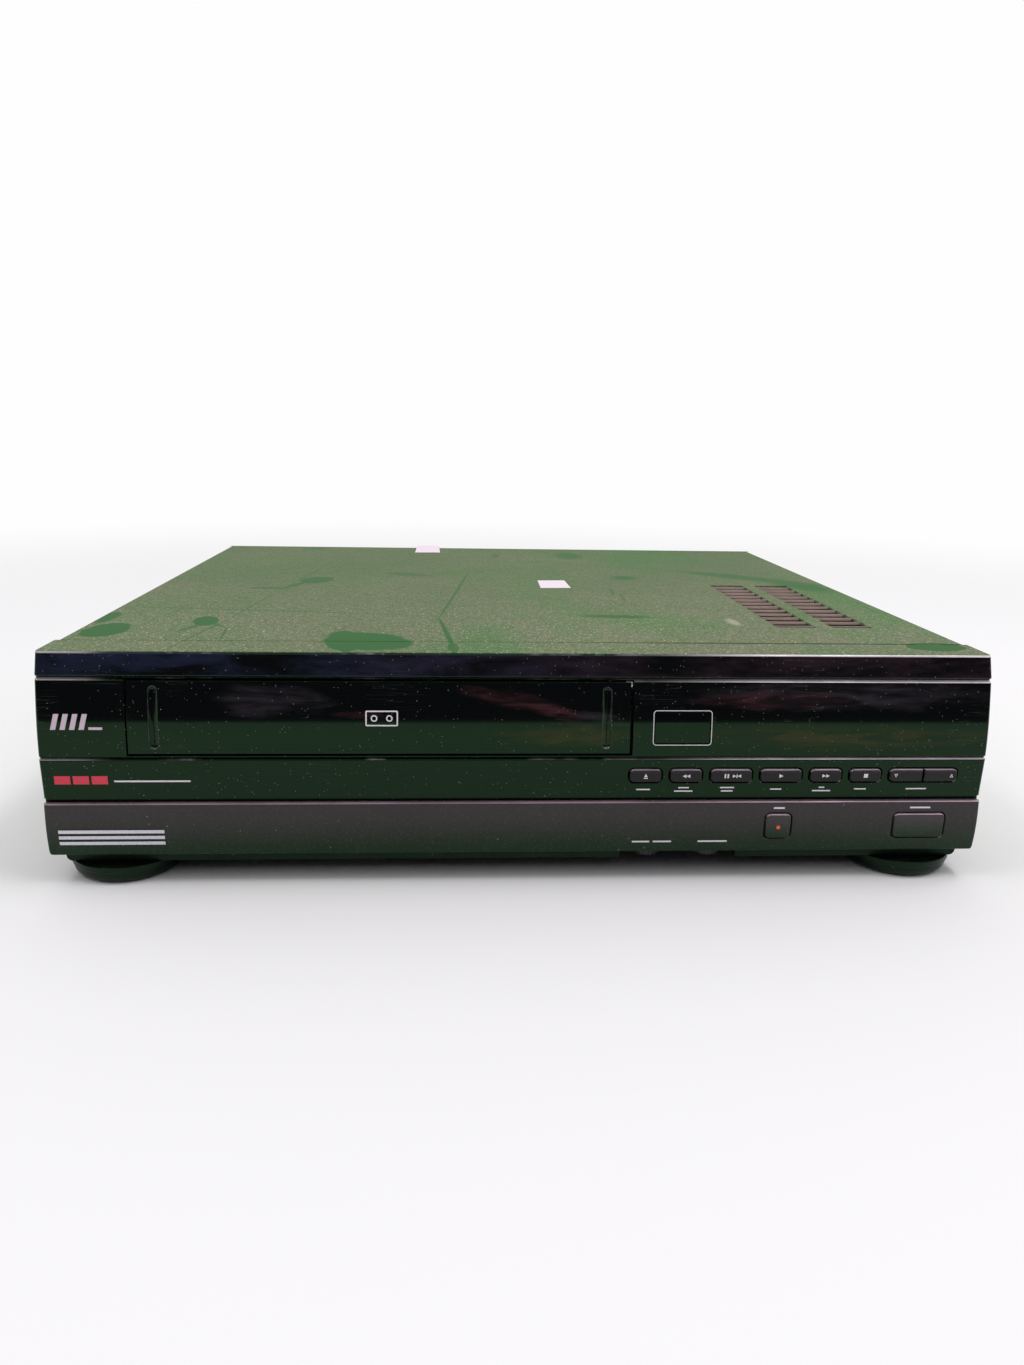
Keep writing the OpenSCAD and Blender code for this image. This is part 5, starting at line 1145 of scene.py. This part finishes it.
def triangle(x, z, half, along):
    # along: right, left, up or down
    tips = {"right": [(-1, -1), (-1, 1), (1, 0)], "left": [(1, -1), (1, 1), (-1, 0)],
            "up": [(-1, -1), (1, -1), (0, 1)], "down": [(-1, 1), (1, 1), (0, -1)]}
    return [(x + a * half, z + b * half) for a, b in tips[along]]


ringMark("displayOutline", bezel["windowLeft"] - lens["lineOut"], bezel["windowLow"] - lens["lineOut"],
         bezel["windowLeft"] + bezel["windowWidth"] + lens["lineOut"], bezel["windowHigh"] + lens["lineOut"],
         lens["lineRound"], lens["lineWidth"], midY, "line_print", "case")

# four slanted bars and a short flat one at the left of the band
markPiece("slantBars", [bar(-184.6 + 3.6 * k, -182.6 + 3.6 * k, 65.0, 71.2, 1.5) for k in range(4)]
          + [bar(-170.0, -164.8, 65.0, 66.0)], midY, "pink_print", "case")
# a plain outline of a cassette on the door
markTop = topZ - 22.4
ringMark("doorPictogram", -63.4, markTop - 6.2, -50.6, markTop, 0.6, 0.55, doorFaceY, "white_print", "door")
for k, x in enumerate((-60.0, -54.0)):
    ringMark("doorPictogramReel%d" % k, x - 1.3, markTop - 4.4, x + 1.3, markTop - 1.8, 1.25, 0.5, doorFaceY,
             "white_print", "door")
# plain red bars and a thin white line on the key strip
markPiece("redBars", [bar(-184.9 + 7.2 * k, -178.7 + 7.2 * k, topZ - 52.4, topZ - 48.9) for k in range(3)], keyY,
          "red_print", "case")
markPiece("stripLine", [bar(-161.9, -132.4, topZ - 51.5, topZ - 50.8)], keyY, "white_print", "case")
# three raised silver bars at the left of the lower panel
markPiece("silverBars", [bar(-184.9, -143.6, topZ - 77.7 + 2.5 * k, topZ - 76.3 + 2.5 * k) for k in range(3)], lowY,
          "silver_print", "case", 0.35)


def labelBars(name, centres, z, height, faceY):
    shapes = [bar(x - wide / 2, x + wide / 2, z + dz, z + dz + height) for x, wide, dz in centres]
    markPiece(name, shapes, faceY, "white_print", "case")


def keyMiddle(key):
    return sum(span(key + "_button")) / 2


# short bars under the keys: key, shift, width, height above the row
keyBars = [
    ("eject", -0.6, 5.6, 0), ("rewind", -0.6, 4.4, 0.75), ("rewind", -0.6, 7.6, -0.75), ("pause", -1.2, 5.8, 0.75),
    ("pause", -1.2, 4.8, -0.75), ("play", -1.5, 4.6, 0), ("fast_forward", -1.0, 2.4, 0.75),
    ("fast_forward", -1.0, 7.6, -0.75), ("stop", -1.4, 5.0, 0),
]
stripLabels = [(keyMiddle(key) + shift, wide, dz) for key, shift, wide, dz in keyBars] + [(sum(pair) / 2 - 2.0, 8.6, 0)]
labelBars("stripLabels", stripLabels, topZ - 55.6, 0.55, keyY)
labelBars("panelLabels", [(keyMiddle("record"), 4.6, 0), (keyMiddle("power"), 8.6, 0),
                          (48.3, 7.2, -14.6), (57.2, 7.6, -14.6), (78.2, 12.2, -14.6)], topZ - 63.6, 0.7, lowY)


def keyFaceY(z):
    return keyY(z) - strip["proud"]


def recordFaceY(z):
    return lowY(lowKeys["centre"]) - lowKeys["proud"]


# signs on the keys, drawn round the middle of each key
signs = {
    ("eject", "ejectSymbol"): [triangle(0, 0.35, 0.75, "up"), bar(-0.85, 0.85, -1.1, -0.7)],
    ("rewind", "rewindSymbol"): [triangle(-0.75, 0, 0.75, "left"), triangle(0.85, 0, 0.75, "left")],
    ("pause", "pauseSymbol"): [bar(-2.9, -2.3, -0.9, 0.9), bar(-1.7, -1.1, -0.9, 0.9), triangle(1.2, 0, 0.7, "right"),
                               bar(2.0, 2.4, -0.8, 0.8), triangle(3.2, 0, 0.7, "left")],
    ("play", "playSymbol"): [triangle(0, 0, 0.85, "right")],
    ("fast_forward", "forwardSymbol"): [triangle(-0.85, 0, 0.75, "right"), triangle(0.75, 0, 0.75, "right")],
    ("stop", "stopSymbol"): [bar(-0.85, 0.85, -0.85, 0.85)],
}
for (key, name), shapes in signs.items():
    moved = [[(x + keyMiddle(key), z + strip["centre"]) for x, z in shape] for shape in shapes]
    markPiece(name, moved, keyFaceY, "white_print", key + "_key")


def hollowTriangle(name, x, half, along, body):
    z, shift = strip["centre"], -0.12 if along == "up" else 0.12
    rings = layers(triangle(x, z, half, along), triangle(x, z + shift, half * 0.5, along), keyFaceY, mark["lift"])
    return dress(loftRings(name, rings + [rings[0]], closed=False), finishes["white_print"], body)


hollowTriangle("downSymbol", span("channel_down_button")[0] + 2.6, 0.75, "down", "channel_down_key")
hollowTriangle("upSymbol", span("channel_up_button")[1] - 2.4, 0.75, "up", "channel_up_key")
markPiece("recordDot", [arc(keyMiddle("record"), lowKeys["centre"] - 0.4, 0.8, 0, 360, 20)[:-1]], recordFaceY,
          "orange_print", "record_key", 0.12)
print("marks made")

# Two blank paper stickers on the cover

sticker = {"thickness": 0.12, "gap": 0.01}


def paperSheet(name, corners, rise):
    # corners are (x, y); rise lifts the sheet's far edge
    low, high = min(y for _, y in corners), max(y for _, y in corners)
    rings = [[(x, y, topZ + lift + rise * ((y - low) / (high - low)) ** 2) for x, y in corners]
             for lift in (sticker["gap"], sticker["gap"] + sticker["thickness"])]
    return dress(loftRings(name, rings), finishes["paper"], "case")


paperSheet("stickerMiddle", [(19.5, 165), (36.5, 166), (35.8, 194), (20.0, 193)], 0.0)
paperSheet("stickerRear", [(-56, 320), (-38.5, 321), (-38.8, 330), (-39.2, 339), (-39.5, 347.5), (-55.4, 347.5),
                           (-55.6, 339), (-55.8, 330)], 1.6)
print("stickers made")

# Stage, lights and camera

stage = {
    "floor": linear(246, 246, 246), "back": 0.99, "ahead": 1.25, "reach": 9.0, "fadeFrom": 0.5, "fadeTo": 1.5,
    "room": (0.9, 0.9, 0.91, 1.0), "dark": (0.03, 0.026, 0.034, 1.0), "strength": 0.92,
}


def shownRays(near):
    # what the camera, a reflection or a view through glass sees
    path = addNode(near, "ShaderNodeLightPath", {})
    return larger(*[path.outputs[name] for name in ("Is Camera Ray", "Is Glossy Ray", "Is Transmission Ray")])


def makeStage():
    # the floor keeps the shadow near the deck and fades into the pale background further away
    material, shader, coords = startMaterial("stagePaper")
    fill(shader, {"Base Color": stage["floor"], "Roughness": 0.9, "Specular IOR Level": 0.1})
    pale = addNode(coords, "ShaderNodeEmission", {"Strength": stage["back"]})
    far = ramp(vectorLength(coords), stage["fadeFrom"], stage["fadeTo"])
    coatOver(shader.outputs[0], pale.outputs[0], times(far, shownRays(coords)))
    r, ahead = stage["reach"], stage["ahead"]
    mesh = bpy.data.meshes.new("studioFloor")
    mesh.from_pydata([(-r, -ahead, 0), (r, -ahead, 0), (r, r, 0), (-r, r, 0)], [], [(0, 1, 2, 3)])
    mesh.materials.append(material)
    addObject("studioFloor", mesh)


def makeWorld():
    # a pale room, darker in front of the deck where the glossy face looks
    world = bpy.data.worlds.new("paleRoom")
    bpy.context.scene.world = world
    world.use_nodes = True
    nodes = world.node_tree.nodes
    nodes.clear()
    out, glow = nodes.new("ShaderNodeOutputWorld"), nodes.new("ShaderNodeBackground")
    feed(out, "Surface", glow.outputs[0])
    direction = nodes.new("ShaderNodeTexCoord").outputs["Generated"]
    dark = times(ramp(axis(direction, "Y"), -0.25, -0.55), ramp(axis(direction, "Z"), 0.62, 0.42))
    room = blendColours(dark, stage["room"], stage["dark"])
    behind = ramp(axis(direction, "Y"), 0.0, 0.2)
    seen = addNode(direction, "ShaderNodeLightPath", {}).outputs["Is Camera Ray"]
    white = [stage["back"] / stage["strength"]] * 3 + [1.0]
    shown = larger(times(shownRays(direction), behind), seen)
    fill(glow, {"Color": blendColours(shown, room, white), "Strength": stage["strength"]})


# name, spot, aim, width, power
lamps = [
    ("rightSoft", (0.72, -0.25, 1.6), (0.1, -0.1, 0.0), 1.0, 8.0),
    ("leftSoft", (-0.95, -0.25, 1.6), (-0.1, -0.1, 0.0), 0.7, 4.0),
]
lampDepth, lampColour = 0.3, (1.0, 0.95, 0.98)


def makeLamp(name, spot, aim, width, power):
    light = bpy.data.lights.new(name, "AREA")
    light.shape = "RECTANGLE"
    light.size, light.size_y, light.energy, light.color = width, lampDepth, power, lampColour
    lamp = addObject(name, light)
    lamp.location = spot
    lamp.rotation_euler = (Vector(aim) - Vector(spot)).to_track_quat("-Z", "Y").to_euler()


# focal length and height of the picture in pixels, and the turns in degrees
lookout = {"spot": (-28.9, -385.5, 181.7), "turns": (14.34, 3.47, 1.04), "focal": 1000.0, "high": 1365.0,
           "sensor": 36.0}


def makeCamera():
    camera = bpy.data.cameras.new("photoCamera")
    camera.sensor_fit = "VERTICAL"
    camera.sensor_height = lookout["sensor"]
    camera.lens = lookout["focal"] / lookout["high"] * lookout["sensor"]
    camera.clip_start = 0.01
    eye = addObject("photoCamera", camera)
    pitch, yaw, roll = (math.radians(a) for a in lookout["turns"])
    forward = Vector((math.sin(yaw) * math.cos(pitch), math.cos(yaw) * math.cos(pitch), -math.sin(pitch)))
    right = Vector((math.cos(yaw), -math.sin(yaw), 0.0))
    up = right.cross(forward)
    across = right * math.cos(roll) + up * math.sin(roll)
    upward = up * math.cos(roll) - right * math.sin(roll)
    eye.matrix_world = Matrix((across, upward, -forward)).transposed().to_4x4()
    eye.matrix_world.translation = place(*lookout["spot"])
    bpy.context.scene.camera = eye


makeStage()
makeWorld()
for lamp in lamps:
    makeLamp(*lamp)
makeCamera()
bpy.context.scene.view_settings.view_transform = "Standard"
print("stage, lights and camera made")
